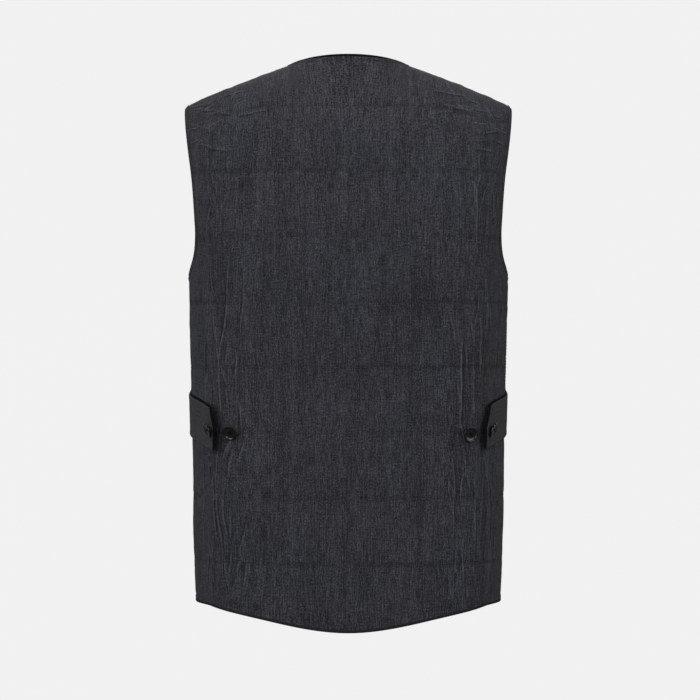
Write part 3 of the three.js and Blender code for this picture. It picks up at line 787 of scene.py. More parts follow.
class Finish:
    """A material and its one way of adding nodes."""

    def __init__(self, name):
        self.material = bpy.data.materials.new(name)
        self.material.use_nodes = True
        self.tree = self.material.node_tree
        self.tree.nodes.clear()

    def node(self, kind, settings=None, inputs=None):
        node = self.tree.nodes.new(kind)
        for key, value in (settings or {}).items():
            setattr(node, key, value)
        for key, value in (inputs or {}).items():
            socket = node.inputs[key]
            if isinstance(value, Value):
                value = value.socket
            if isinstance(value, bpy.types.NodeSocket):
                self.tree.links.new(value, socket)
            else:
                socket.default_value = value
        return node

    def math(self, operation, *values, clamp=False):
        settings = {"operation": operation, "use_clamp": clamp}
        node = self.node("ShaderNodeMath", settings, dict(enumerate(values)))
        return Value(self, node.outputs[0])

    def attribute(self, name):
        """A value that the mesh carries at its vertices."""
        return Value(self, self.node("ShaderNodeAttribute", {"attribute_name": name}).outputs["Fac"])

    def cloth_vector(self, scale_u, scale_v, shift=0.0):
        """The cloth coordinates, times a scale each way."""
        uv = self.node("ShaderNodeUVMap", {"uv_map": "cloth"})
        place = (shift, shift * 0.7, 0)
        inputs = {"Vector": uv.outputs[0], "Scale": (scale_u, scale_v, 1), "Location": place}
        return self.node("ShaderNodeMapping", {"vector_type": "POINT"}, inputs).outputs[0]

    def object_vector(self, scale):
        """The object's own coordinates, times a scale each way."""
        place = self.node("ShaderNodeTexCoord").outputs["Object"]
        return self.node("ShaderNodeMapping", None, {"Vector": place, "Scale": scale}).outputs[0]

    def bands(self, direction, scale, distortion):
        """Even bands over the cloth."""
        settings = {"wave_type": "BANDS", "bands_direction": direction}
        inputs = {"Vector": self.cloth_vector(scale, scale), "Scale": 1.0, "Distortion": distortion}
        return Value(self, self.node("ShaderNodeTexWave", settings, inputs).outputs[1])

    def noise(self, vector, detail=2.0, roughness=0.5, dimensions="2D"):
        settings = {"noise_dimensions": dimensions}
        inputs = {"Vector": vector, "Scale": 1.0, "Detail": detail, "Roughness": roughness}
        return Value(self, self.node("ShaderNodeTexNoise", settings, inputs).outputs[0])

    def mix(self, factor, first, second):
        settings = {"data_type": "RGBA"}
        colour = [c if isinstance(c, bpy.types.NodeSocket) else (*c, 1.0) for c in (first, second)]
        node = self.node("ShaderNodeMix", settings, {0: factor, 6: colour[0], 7: colour[1]})
        return node.outputs[2]

    def bump(self, height, distance, strength):
        inputs = {"Height": height, "Distance": distance, "Strength": strength}
        return self.node("ShaderNodeBump", None, inputs).outputs[0]

    def surface(self, **inputs):
        inputs = {key.replace("_", " "): value for key, value in inputs.items()}
        shader = self.node("ShaderNodeBsdfPrincipled", None, inputs)
        self.node("ShaderNodeOutputMaterial", None, {"Surface": shader.outputs[0]})
        return self.material


def scaled(colour, factor):
    return tuple(min(1.0, channel * factor) for channel in colour)


def bell(value, middle, width):
    """A smooth bump round a middle value."""
    part = (value - middle) * (1 / width)
    return math.e ** (-1.0 * (part * part))


def linen(name, colour, slub, contrast):
    """Slubbed linen: uneven upright threads, finer level ones, and a plain weave between them, with painted
    light on crease crests and painted shade in their troughs and along the quilting lines.
    """
    finish = Finish(name)
    broad = finish.noise(finish.cloth_vector(22, 14, 3.1), 3.0, 0.6)
    streaks = finish.noise(finish.cloth_vector(95, 6, 4.4), 2.0, 0.5)
    slubs = finish.noise(finish.cloth_vector(560 / slub, 20, 1.7), 2.0, 0.6)
    threads = finish.noise(finish.cloth_vector(800 / slub, 70, 5.3), 2.0, 0.6)
    level = finish.noise(finish.cloth_vector(80, 700 / slub, 8.9), 2.0, 0.6)
    grain = finish.noise(finish.cloth_vector(820, 460, 2.2), 2.0, 0.6)
    side, fold = finish.attribute("fold_side"), finish.attribute("fold")
    crest, foot = bell(side, 0.0, 1.0), bell(side, 2.1, 1.2)
    # Painted light on crease crests, and painted shade in the troughs beside them and along the quilting
    # lines
    painted_light_and_shade = fold * (0.54 * crest - 0.48 * foot) - 0.16 * finish.attribute("stitched")
    tone = 0.24 * (broad - 0.5) + 0.62 * (slubs - 0.5) + 1.25 * (threads - 0.5)
    tone = tone + 0.7 * (level - 0.5) + 1.9 * (grain - 0.5) + 0.34 * (streaks - 0.5)
    share = finish.math("ADD", tone * contrast + painted_light_and_shade, 0.42, clamp=True) ** 1.5
    violet = finish.noise(finish.cloth_vector(14, 9, 6.6), 2.0, 0.5)
    cool = (colour[0] * 0.96, colour[1] * 1.01, colour[2] * 1.03)
    warm = (colour[0] * 1.06, colour[1] * 0.99, colour[2] * 0.97)
    dark = finish.mix(violet, scaled(cool, 0.42), scaled(warm, 0.42))
    light = finish.mix(violet, scaled(cool, 2.7), scaled(warm, 2.7))
    height = 0.55 * slubs + 0.5 * threads + 0.35 * level
    height = height + 0.20 * finish.bands("X", 480, 1.0) + 0.20 * finish.bands("Y", 480, 1.0)
    height = height + 1.2 * fold * (crest - 0.8 * foot)
    return finish.surface(
        Base_Color=finish.mix(share, dark, light),
        Roughness=finish.math("ADD", 0.80, 0.14 * level),
        Normal=finish.bump(height, 0.0005, 0.75),
        Sheen_Weight=0.065,
        Sheen_Roughness=0.5,
        Specular_IOR_Level=0.04,
    )


def edging_cloth(name, colour):
    """Close cotton for the bindings and the facings."""
    finish = Finish(name)
    twill = finish.bands("DIAGONAL", 260, 0.6)
    fuzz = finish.noise(finish.cloth_vector(500, 260, 4.0), 3.0, 0.6)
    share = finish.math("ADD", 0.5 * twill, 0.5 * fuzz, clamp=True)
    return finish.surface(
        Base_Color=finish.mix(share, scaled(colour, 0.55), scaled(colour, 1.5)),
        Roughness=0.86 + 0.1 * fuzz,
        Normal=finish.bump(twill * 0.6 + fuzz * 0.4, 0.00025, 0.5),
        Specular_IOR_Level=0.12,
    )


def thread_finish(name, colour):
    """Twisted sewing thread."""
    finish = Finish(name)
    fibre = finish.noise(finish.object_vector((900, 900, 900)), 2.0, 0.5, "3D")
    return finish.surface(
        Base_Color=finish.mix(fibre, scaled(colour, 0.6), scaled(colour, 1.6)),
        Roughness=0.62 + 0.2 * fibre,
        Specular_IOR_Level=0.35,
    )


def horn_finish(name, colour):
    """Polished dark horn with faint brown clouds and fine scratches."""
    finish = Finish(name)
    cloud = finish.noise(finish.object_vector((90, 260, 140)), 3.0, 0.6, "3D")
    scratches = finish.noise(finish.object_vector((300, 2400, 900)), 2.0, 0.5, "3D")
    brown = (colour[0] * 3.2, colour[1] * 3.4, colour[2] * 4.0)
    share = finish.math("MULTIPLY", (cloud - 0.42) * 2.2, 1.0, clamp=True)
    return finish.surface(
        Base_Color=finish.mix(share, colour, brown),
        Roughness=0.10 + 0.16 * scratches,
        Normal=finish.bump(scratches, 0.00006, 0.5),
        IOR=1.5,
    )


FINISHES = {}


def finish_for(name):
    """The finish of that name, made the first time that it is asked for."""
    if name not in FINISHES:
        colours = bpy.context.scene.vest_colours
        makers = {
            "quilted_linen": lambda: linen(name, colours.cloth, 1.0, 0.82),
            "plain_linen": lambda: linen(name, colours.tab_cloth, 0.7, 0.38),
            "edging": lambda: edging_cloth(name, colours.edging),
            "self_binding": lambda: edging_cloth(name, colours.self_binding),
            "thread": lambda: thread_finish(name, colours.thread),
            "horn": lambda: horn_finish(name, colours.horn),
        }
        FINISHES[name] = makers[name]()
    return FINISHES[name]


# -------------------------------------------------------------------------- stitches and panels

GRIDS = {}  # the smooth form and the finished outer face, by panel
STITCH_RADIUS = 0.00026
STITCH_FLAT = 0.28  # where a stitch starts to dip, from its middle, as a share of its length


def new_cylinder(vertices, radius, depth, **settings):
    """A cylinder, alone selected, whose mesh holds its place and its turn."""
    bpy.ops.object.select_all(action="DESELECT")
    bpy.ops.mesh.primitive_cylinder_add(vertices=vertices, radius=radius, depth=depth, **settings)
    bpy.ops.object.transform_apply(location=True, rotation=True, scale=True)
    return bpy.context.object


def placing(x, y, z, origin):
    """The matrix that carries a shape's own axes and origin to these."""
    return Matrix([[column[k] for column in (x, y, z, origin)] for k in range(3)] + [[0, 0, 0, 1]])


def stitch_shape():
    """One stitch, 1 m long along X and modelled with its ends dipping into the cloth."""
    stitch = new_cylinder(6, 1.0, 1.0, end_fill_type="TRIFAN", rotation=(0.0, math.pi / 2, 0.0))
    bpy.ops.object.mode_set(mode="EDIT")
    for cut in (STITCH_FLAT, -STITCH_FLAT):
        bpy.ops.mesh.select_all(action="SELECT")
        bpy.ops.mesh.bisect(plane_co=(cut, 0, 0), plane_no=(1, 0, 0))
    bpy.ops.object.mode_set(mode="OBJECT")
    mesh = stitch.data
    for vertex in mesh.vertices:
        end = smoothstep(abs(vertex.co.x), STITCH_FLAT, 0.5)
        vertex.co.z -= 1.6 * float(end)
    bpy.data.objects.remove(stitch)
    return mesh


def resampled(line, normals, pitch):
    """Points along a line at an even pitch, with their directions and normals."""
    steps = np.linalg.norm(np.diff(line, axis=0), axis=1)
    along = np.concatenate([[0.0], np.cumsum(steps)])
    count = max(1, int(along[-1] / pitch))
    at = (np.arange(count) + 0.5) * along[-1] / count

    def taken(values, places):
        return np.stack([np.interp(places, along, values[:, k]) for k in range(3)], axis=-1)

    run = taken(line, at + pitch * 0.4) - taken(line, at - pitch * 0.4)
    return taken(line, at), run, taken(normals, at)


def stitch_places(line, normals, length, pitch, height):
    """Placing matrices for stitches along a line on the cloth."""
    matrices = []
    for place, run, normal in zip(*resampled(line, normals, pitch)):
        x = Vector(run).normalized()
        y = Vector(normal).cross(x).normalized()
        z = x.cross(y)
        origin = Vector(place) + z * height
        matrices.append(placing(x * length, y * STITCH_RADIUS, z * STITCH_RADIUS, origin))
    return matrices


def contour(points, normals, field, value):
    """Where a field that grows along the rows takes a value: one point a row."""
    line, ups = [], []
    for row, up, at in zip(points, normals, field):
        order = np.argsort(at)
        if not at[order[0]] < value < at[order[-1]]:
            continue
        line.append([np.interp(value, at[order], row[order, k]) for k in range(3)])
        ups.append([np.interp(value, at[order], up[order, k]) for k in range(3)])
    return np.array(line), np.array(ups)


def quilting_lines(grid, outer):
    """The quilting lines on a panel's finished outer face."""
    sizes = bpy.context.scene.vest_sizes
    normals = Grid.slopes_normal(outer)
    lines = []
    span = int(np.abs(grid.across).max() / sizes.quilt_across)
    for k in range(-span, span + 1):
        lines.append(contour(outer, normals, grid.across, k * sizes.quilt_across))
    turned = [np.swapaxes(a, 0, 1) for a in (outer, normals, grid.along)]
    k = 0
    while sizes.quilt_top - k * sizes.quilt_down > grid.along.min():
        lines.append(contour(*turned, sizes.quilt_top - k * sizes.quilt_down))
        k += 1
    return [(line, ups) for line, ups in lines if len(line) > 4]


def stitched_piece(name, places):
    """One piece of thread with a stitch at each placing matrix."""
    shape = stitch_shape()
    piece = link_piece(name, copies_mesh(name, shape, places), finish_for("thread"))
    smooth(piece, 60)
    bpy.data.meshes.remove(shape)
    return piece


def add_stitches(name, lines, length_share=1.0, height=0.00012):
    sizes = bpy.context.scene.vest_sizes
    length = sizes.stitch_length * length_share
    places = []
    for line, normals in lines:
        places += stitch_places(line, normals, length, sizes.stitch_pitch, height)
    return stitched_piece(name, places)


def make_panel(name, node, grid, creases, seed, seams, edges):
    """Quilts a panel, gives it its wall and sews its quilting lines."""
    relief, painted_light_masks = quilt_relief(grid, creases, seed, seams, edges)
    outer = grid.points + grid.normals * relief[..., None]
    inner = grid.points - grid.normals * QUILT_THICKNESS
    uv = np.stack([grid.across, grid.along], axis=-1)
    mesh = shell_mesh(name, outer, inner, uv, INNER_STEP)
    # The masks for the painted light and shade of the creases and quilting lines go onto the outer face's
    # vertices
    for key, values in painted_light_masks.items():
        inside = np.zeros(len(mesh.vertices) - values.size)
        set_attribute(mesh, key, np.concatenate([values.ravel(), inside]))
    piece = link_piece(name, mesh, finish_for("quilted_linen"))
    smooth(piece, 50)
    finish_piece(piece, "quilted_linen", node)
    GRIDS[node] = (grid, outer)
    stitches = add_stitches(f"{node}_quilting", quilting_lines(grid, outer))
    finish_piece(stitches, "quilted_linen")
    area = sheet_area(grid.points)


def sheet_area(points):
    """The area of a grid of points."""
    a, b = points[1:, 1:] - points[:-1, :-1], points[1:, :-1] - points[:-1, 1:]
    return float(0.5 * np.linalg.norm(np.cross(a, b), axis=2).sum())


ARMPIT_ROW = int(round((ARMPIT - HEM_SIDE) / (YOKE - HEM_SIDE) * RING_ROWS))
NECK_COLUMNS = int(round(COLUMNS * NECK_SHARE))


class VEST_OT_back_panel(bpy.types.Operator):
    """Make the quilted back panel"""

    bl_idname = "vest.back_panel"
    bl_label = "Back panel"

    def execute(self, context):
        grid = back_panel_grid()
        p = grid.points
        middle = COLUMNS
        seams = np.concatenate([
            p[: ARMPIT_ROW + 1, 0], p[: ARMPIT_ROW + 1, -1],
            p[-1, : middle - NECK_COLUMNS + 1], p[-1, middle + NECK_COLUMNS :],
        ])
        neck = p[-1, middle - NECK_COLUMNS : middle + NECK_COLUMNS + 1]
        edges = [p[ARMPIT_ROW:, 0], p[ARMPIT_ROW:, -1], p[0], neck]
        make_panel("back_panel_cloth", "back_panel", grid, BACK_CREASES, 11, seams, edges)
        return {"FINISHED"}


class VEST_OT_front_panels(bpy.types.Operator):
    """Make the two quilted fronts"""

    bl_idname = "vest.front_panels"
    bl_label = "Front panels"

    def execute(self, context):
        for side, seed in (("left", 31), ("right", 51)):
            grid = front_panel_grid(side)
            p = grid.points if side == "left" else grid.points[:, ::-1]
            seams = np.concatenate([p[: ARMPIT_ROW + 1, -1], p[-1]])
            edges = [p[ARMPIT_ROW:, -1], p[0], p[:, 0]]
            make_panel(f"front_{side}_cloth", f"front_{side}", grid, FRONT_CREASES, seed, seams, edges)
        return {"FINISHED"}


# --------------------------------------------------------------------------------- bindings

# The binding's section, in millimetres: out beyond the cloth's edge, and up from its outer face
BINDING_SECTION = (
    (-1.3, 0.30),
    (-0.2, 0.62),
    (1.0, 0.55),
    (2.0, 0.0),
    (2.5, -1.2),
    (2.5, -2.8),
    (2.0, -4.0),
    (1.0, -4.5),
    (-0.2, -4.6),
    (-1.3, -4.3),
    (-0.4, -3.6),
    (0.25, -2.0),
    (-0.4, -0.4),
)


def thinned(points):
    """Every second point, with both ends kept."""
    keep = list(range(0, len(points) - 1, 2)) + [len(points) - 1]
    return points[keep]


def edge_run(node, take):
    """An edge of a panel, as every second point and the form's normals there."""
    grid, _ = GRIDS[node]
    return thinned(take(grid.points)), thinned(take(grid.normals))


def joined(*runs):
    """Edges end to end, with one point where two meet."""
    points, normals = [runs[0][0]], [runs[0][1]]
    for place, up in runs[1:]:
        points[-1] = np.concatenate([points[-1][:-1], [(points[-1][-1] + place[0]) / 2]])
        normals[-1] = np.concatenate([normals[-1][:-1], [(normals[-1][-1] + up[0]) / 2]])
        points.append(place[1:])
        normals.append(up[1:])
    return np.concatenate(points), np.concatenate(normals)


def binding_piece(name, node, points, normals, closed):
    """A binding along an edge that has the cloth on its left, seen from outside."""
    if closed:
        points, normals = points[:-1], normals[:-1]
        along = np.roll(points, -1, axis=0) - np.roll(points, 1, axis=0)
    else:
        along = np.gradient(points, axis=0)
    outward = np.cross(along, normals)
    outward /= np.linalg.norm(outward, axis=1, keepdims=True)
    normals = normals / np.linalg.norm(normals, axis=1, keepdims=True)
    section = [(out * MM, up * MM) for out, up in BINDING_SECTION]
    mesh = swept_mesh(name, points, normals, outward, section, closed)
    piece = link_piece(name, mesh, finish_for("edging" if node == "neck_binding" else "self_binding"))
    smooth(piece, 60)
    finish_piece(piece, "edging", node)
    return piece, (points - outward * bpy.context.scene.vest_sizes.edge_stitch, normals)


class VEST_OT_bindings(bpy.types.Operator):
    """Make the neck, hem and armhole bindings and their edge stitching"""

    bl_idname = "vest.bindings"
    bl_label = "Bindings"

    def execute(self, context):
        middle, neck = COLUMNS, NECK_COLUMNS
        right_edge = edge_run("front_right", lambda g: g[:, -1])
        left_edge = edge_run("front_left", lambda g: g[::-1, 0])
        back_neck = edge_run("back_panel", lambda g: g[-1, middle - neck : middle + neck + 1][::-1])
        hem = [edge_run(node, lambda g: g[0]) for node in ("front_left", "back_panel", "front_right")]
        neck_edge = joined(right_edge, back_neck, left_edge)
        made = [binding_piece("neck_binding_cloth", "neck_binding", *neck_edge, False)]
        hem_points, hem_normals = joined(*hem)
        ends = [(hem_points[0] - hem_points[1]), (hem_points[-1] - hem_points[-2])]
        ends = [e / np.linalg.norm(e) * BINDING_WIDTH for e in ends]
        hem_points = np.concatenate([[hem_points[0] + ends[0]], hem_points, [hem_points[-1] + ends[1]]])
        hem_normals = np.concatenate([hem_normals[:1], hem_normals, hem_normals[-1:]])
        made.append(binding_piece("hem_binding_cloth", "hem_binding", hem_points, hem_normals, False))
        for side in ("left", "right"):
            back_column = 0 if side == "left" else -1
            front_column = -1 if side == "left" else 0
            back = edge_run("back_panel", lambda g: g[ARMPIT_ROW:, back_column][::-1])
            front = edge_run(f"front_{side}", lambda g: g[ARMPIT_ROW:, front_column])
            points, normals = joined(front, back)
            points[0] = points[-1] = (points[0] + points[-1]) / 2
            normals[0] = normals[-1] = (normals[0] + normals[-1]) / 2
            if side == "right":
                points, normals = points[::-1], normals[::-1]
            name = f"armhole_binding_{side}"
            made.append(binding_piece(f"{name}_cloth", name, points, normals, True))
        lines = [line for _, line in made]
        lines[1] = (lines[1][0][2:-2], lines[1][1][2:-2])
        stitches = finish_piece(add_stitches("edge_stitching", lines, 1.0, 0.00025), "edging")
        return {"FINISHED"}


# -------------------------------------------------------------------------------------- tabs

# A tab's relief: the edge it follows, its height, its distance from that edge and its half width
TAB_RELIEF = (
    ("end", 0.00045, 0.0022, 0.0011),
    ("side", 0.00025, 0.0020, 0.0012),
    ("nearest", -0.00030, 0.0042, 0.0009),
    ("nearest", -0.00070, 0.0, 0.0007),
)
TAB_RUMPLES = (
    (0.022, 0.016, 0.00030),
    (0.007, 0.006, 0.00010),
)
TAB_COLUMNS = 90
TAB_ROWS = 30
TAB_STITCH_INSET = 0.0042
BUTTONHOLE = {"from_end": 0.013, "half_length": 0.0095, "half_width": 0.0011, "aside": 0.001}
BUTTONHOLE_STITCH = {"length": 0.0017, "radius": 0.00030, "pitch": 0.00055, "height": 0.0001}


def side_grid(height, round_):
    """Points and outward normals on the left side of the body; round is back from the side seam."""
    flat_h, flat_r = height.ravel(), round_.ravel()
    step = 0.00005

    def place(h, r):
        behind = BACK.ring_place(h, BACK.ring_length(h) - np.abs(r))
        ahead = FRONT.ring_place(h, FRONT.ring_length(h) - np.abs(r))
        return np.where((r >= 0)[:, None], behind, ahead)

    point = place(flat_h, flat_r)
    east = place(flat_h, flat_r - step) - place(flat_h, flat_r + step)
    north = place(flat_h + step, flat_r) - place(flat_h - step, flat_r)
    normal = np.cross(north, east)
    normal /= np.linalg.norm(normal, axis=1, keepdims=True)
    normal *= np.sign(normal[:, :1])
    return point.reshape(*height.shape, 3), normal.reshape(*height.shape, 3)


def tab_points(side, along, across, height):
    """Places on a tab: along from the side seam, across from its middle line, height over the facing."""
    slope = TAB["slope"]
    round_ = along * math.cos(slope) + across * math.sin(slope)
    level = TAB["height"] - along * math.sin(slope) + across * math.cos(slope)
    leaving = (np.clip(along, 0.0, None) / TAB["reach"][side]) ** TAB["lift_power"]
    clearance = TAB["lift_end"][side] + TAB["lift_twist"] * across / (TAB["width"] / 2)
    point, normal = side_grid(level, round_)
    point = point + normal * (TAB["lift_base"] + clearance * leaving + height)[..., None]
    if side == "right":
        flip = np.array([-1.0, 1.0, 1.0])
        point, normal = point * flip, normal * flip
    return point, normal


def tab_frame(side, past):
    """A layer's grid of along and across values, and each value's distance to the free edges."""
    s, t = np.meshgrid(np.linspace(0, 1, TAB_COLUMNS + 1), np.linspace(-1, 1, TAB_ROWS + 1))
    half = TAB["width"] / 2
    top, bottom = TAB["set_back"][side]
    end = TAB["reach"][side] - np.where(t > 0, top, bottom) * np.abs(t) + past
    across = t * half + past * np.clip(t, 0, None)
    along = lerp(-TAB["base"], end, s)
    to_end = end - along
    to_side = np.minimum(half + past - across, across + half)
    return along, across, to_end, to_side


class VEST_OT_tabs(bpy.types.Operator):
    """Make the two side tabs with their facings, stitching and buttonholes"""

    bl_idname = "vest.tabs"
    bl_label = "Side tabs"

    def execute(self, context):
        for side in ("left", "right"):
            self.make_tab(side)
        return {"FINISHED"}

    def make_tab(self, side):
        seat = FACING["thickness"] + FACING["gap"]
        surface = seat + TAB["thickness"]
        along, across, to_end, to_side = tab_frame(side, 0.0)
        distances = {"end": to_end, "side": to_side, "nearest": np.minimum(to_end, to_side)}
        relief = np.zeros_like(along)
        for edge, height, place, width in TAB_RELIEF:
            relief += height * hump(distances[edge] - place, width)
        seed = 71 if side == "left" else 91
        for k, (*cells, height) in enumerate(TAB_RUMPLES):
            relief += height * cloth_noise(along, across, *cells, seed + k)
        heights = (surface + relief, np.full_like(along, seat))
        cloth = self.layer(f"tab_{side}", side, along, across, heights, "plain_linen")
        facing_along, facing_across, to_end, to_side = tab_frame(side, FACING["showing"])
        fold = -0.00025 * hump(np.minimum(to_end, to_side), 0.0006)
        heights = (FACING["thickness"] + fold, -fold)
        facing = self.layer(f"tab_facing_{side}", side, facing_along, facing_across, heights, "edging")
        stitches = self.stitching(side, surface)
        hole = self.buttonhole(side, surface)
        self.state_sheet(cloth, TAB["width"], along, with_pieces=[stitches, hole])
        self.state_sheet(facing, TAB["width"] + FACING["showing"], facing_along)

    def state_sheet(self, layer, width, along, **settings):
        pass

    def layer(self, node, side, along, across, heights, finish):
        """One layer of a tab between two heights over the body, and its outer face's area."""
        outer, inner = (tab_points(side, along, across, height)[0] for height in heights)
        area = sheet_area(outer)
        uv = np.stack([across, along], axis=-1)
        if side == "right":
            outer, inner, uv = outer[:, ::-1], inner[:, ::-1], uv[:, ::-1]
        name = f"{node}_cloth"
        piece = link_piece(name, shell_mesh(name, outer, inner, uv, 1), finish_for(finish))
        smooth(piece, 40)
        return finish_piece(piece, finish, node), area

    def on_tab(self, side, surface, along, across):
        """A line on a tab's outer face: its points and normals."""
        height = np.full((1, len(along)), surface)
        point, normal = tab_points(side, along[None], across[None], height)
        return point[0], normal[0]

    def stitching(self, side, surface):
        half, inset = TAB["width"] / 2, TAB_STITCH_INSET
        top, bottom = TAB["set_back"][side]
        reach = TAB["reach"][side]
        corner_top = reach - top + 0.001
        corners = [
            (-TAB["base"] + inset, half - inset),
            (corner_top - inset, half - inset),
            (reach - inset, 0.0),
            (reach - bottom - inset, -half + inset),
            (-TAB["base"] + inset, -half + inset),
            (-TAB["base"] + inset, half - inset),
        ]
        t = np.linspace(0, 1, 40)
        lines = []
        for (a0, c0), (a1, c1) in zip(corners, corners[1:]):
            lines.append(self.on_tab(side, surface, lerp(a0, a1, t), lerp(c0, c1, t)))
        piece = add_stitches(f"tab_stitching_{side}", lines, 0.9, 0.0)
        return finish_piece(piece, "plain_linen")

    def buttonhole(self, side, surface):
        """A worked buttonhole: close stitches round a slot, lying along the tab."""
        centre = TAB["reach"][side] - BUTTONHOLE["from_end"]
        angle = np.linspace(0, 2 * math.pi, 90)
        along = centre + BUTTONHOLE["half_length"] * np.cos(angle)
        across = BUTTONHOLE["half_width"] * np.sin(angle) - BUTTONHOLE["aside"]
        line = self.on_tab(side, surface, along, across)
        length, radius = BUTTONHOLE_STITCH["length"], BUTTONHOLE_STITCH["radius"]
        places = []
        for place, run, up in zip(*resampled(*line, BUTTONHOLE_STITCH["pitch"])):
            x = Vector(up).cross(Vector(run)).normalized()
            z = Vector(up).normalized()
            y = z.cross(x)
            origin = Vector(place) + z * BUTTONHOLE_STITCH["height"]
            places.append(placing(x * length, y * radius, z * radius, origin))
        return finish_piece(stitched_piece(f"tab_buttonhole_{side}", places), "plain_linen")


# ----------------------------------------------------------------------------------- buttons

# A button's face from its rim inward: steps in, as shares of its radius, and down, of its thickness
FACE_STEPS = ((0.05, 0.0), (0.12, 0.0), (0.07, 0.20), (0.08, 0.10), (0.20, 0.02))
BUTTON_HOLES = {"count": 4, "circle": 0.0021, "radius": 0.00088}
BUTTON_BEVEL = 0.00048
THREAD_BAR = {"radius": 0.00026, "length": 0.0044, "aside": 0.00022, "rise": 0.0003, "dip": 0.0012}
SHANK = {"radius": 0.0013, "length": 0.0020, "middle": -0.0009}


def select_faces(mesh, test):
    """In the mesh's stored selection, picks the faces that pass a test of centre and normal."""
    for vertex in mesh.vertices:
        vertex.select = False
    for edge in mesh.edges:
        edge.select = False
    for face in mesh.polygons:
        face.select = bool(test(face.center, face.normal))


def edit(obj, test):
    """Goes to edit mode with the faces selected that pass the test."""
    bpy.ops.object.mode_set(mode="OBJECT")
    select_faces(obj.data, test)
    bpy.ops.object.mode_set(mode="EDIT")
    bpy.ops.mesh.select_mode(type="FACE")


def widen(vertex, factor):
    """Moves a vertex away from the Z axis."""
    vertex.co.x *= factor
    vertex.co.y *= factor


def button_shape():
    """A dished four-hole button, facing +Z with its back at height 0."""
    sizes = bpy.context.scene.vest_sizes
    radius, thickness = sizes.button_radius, sizes.button_thickness
    button = new_cylinder(48, radius * 0.86, thickness * 0.5, location=(0, 0, thickness * 0.25))
    edit(button, lambda centre, normal: normal.z > 0.9)
    bpy.ops.mesh.extrude_region_move(TRANSFORM_OT_translate={"value": (0, 0, thickness * 0.5)})
    bpy.ops.object.mode_set(mode="OBJECT")
    for vertex in button.data.vertices:
        if vertex.co.z > thickness * 0.3:
            widen(vertex, radius / math.hypot(vertex.co.x, vertex.co.y))
    edit(button, lambda centre, normal: normal.z > 0.9)
    for inward, down in FACE_STEPS:
        bpy.ops.mesh.inset(thickness=radius * inward, depth=-thickness * down)
    bpy.ops.mesh.select_all(action="SELECT")
    bpy.ops.mesh.remove_doubles(threshold=1e-7)
    bpy.ops.mesh.normals_make_consistent(inside=False)
    bpy.ops.object.mode_set(mode="OBJECT")
    corner = math.radians(35)
    apply_modifier(button, "BEVEL", width=BUTTON_BEVEL, segments=4, limit_method="ANGLE", angle_limit=corner)
    for k in range(BUTTON_HOLES["count"]):
        angle = math.pi / 4 + k * math.pi / 2
        circle = BUTTON_HOLES["circle"]
        centre = (circle * math.cos(angle), circle * math.sin(angle), thickness / 2)
        drill = new_cylinder(16, BUTTON_HOLES["radius"], thickness * 3, location=centre)
        apply_modifier(button, "BOOLEAN", operation="DIFFERENCE", object=drill, solver="EXACT")
        bpy.data.objects.remove(drill)
    mesh = button.data
    bpy.data.objects.remove(button)
    return mesh


def apply_modifier(obj, kind, **settings):
    modifier = obj.modifiers.new(kind.title(), kind)
    for key, value in settings.items():
        setattr(modifier, key, value)
    bpy.ops.object.select_all(action="DESELECT")
    obj.select_set(True)
    bpy.context.view_layer.objects.active = obj
    bpy.ops.object.modifier_apply(modifier=modifier.name)


def thread_bar(face, aside, turn):
    """One bar of thread over a button's face, with its ends down in the holes."""
    bar = new_cylinder(8, THREAD_BAR["radius"], THREAD_BAR["length"], rotation=(0, math.pi / 2, 0))
    bpy.ops.object.mode_set(mode="EDIT")
    bpy.ops.mesh.select_all(action="SELECT")
    bpy.ops.mesh.subdivide(number_cuts=4)
    bpy.ops.object.mode_set(mode="OBJECT")
    for vertex in bar.data.vertices:
        end = float(smoothstep(abs(vertex.co.x), 0.0013, 0.0022))
        vertex.co.z += face + THREAD_BAR["rise"] - end * THREAD_BAR["dip"]
        vertex.co.y += aside
    bar.data.transform(Matrix.Rotation(turn, 4, "Z"))
    return bar


def thread_shank():
    """The wound thread under a button, narrowest at its middle."""
    middle = SHANK["middle"]
    shank = new_cylinder(12, SHANK["radius"], SHANK["length"], location=(0, 0, middle))
    edit(shank, lambda centre, normal: abs(normal.z) < 0.5)
    bpy.ops.mesh.subdivide(number_cuts=3)
    bpy.ops.object.mode_set(mode="OBJECT")
    for vertex in shank.data.vertices:
        widen(vertex, 1 - 0.25 * (1 - abs(vertex.co.z - middle) / 0.001))
    return shank


def thread_cross_shape():
    """The thread through a button: two pairs of bars over its face, and the shank under it."""
    face = bpy.context.scene.vest_sizes.button_thickness * 0.72
    parts = []
    for turn in (math.pi / 4, -math.pi / 4):
        for aside in (-THREAD_BAR["aside"], THREAD_BAR["aside"]):
            parts.append(thread_bar(face, aside, turn))
    parts.append(thread_shank())
    bpy.ops.object.select_all(action="DESELECT")
    for part in parts:
        part.select_set(True)
    bpy.context.view_layer.objects.active = parts[0]
    bpy.ops.object.join()
    mesh = parts[0].data
    bpy.data.objects.remove(parts[0])
    return mesh


def button_place(node, turn):
    """Where a button's own frame stands, from its CAD node: its axis is the thinnest way."""
    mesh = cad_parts[node].data
    points = np.empty(len(mesh.vertices) * 3)
    mesh.vertices.foreach_get("co", points)
    points = np.unique(points.reshape(-1, 3).round(6), axis=0)
    middle = (points.max(axis=0) + points.min(axis=0)) / 2
    _, _, ways = np.linalg.svd(points - points.mean(axis=0), full_matrices=False)
    axis = ways[2]
    reach = (points - middle) @ axis
    aside = np.linalg.norm(points - middle - reach[:, None] * axis, axis=1)
    if reach[aside < 0.003].min() > -reach[aside < 0.003].max() - 1e-6:
        axis, reach = -axis, -reach
    rim = points[aside > 0.0080]
    centre = rim.mean(axis=0)
    axis = Vector(axis)
    back = ((points - centre) @ np.array(axis))[aside > 0.005].min()
    origin = Vector(centre) + axis * float(back)
    x = Vector((0, 0, 1)).cross(axis).normalized()
    y = axis.cross(x)
    return placing(x, y, axis, origin) @ Matrix.Rotation(turn, 4, "Z")


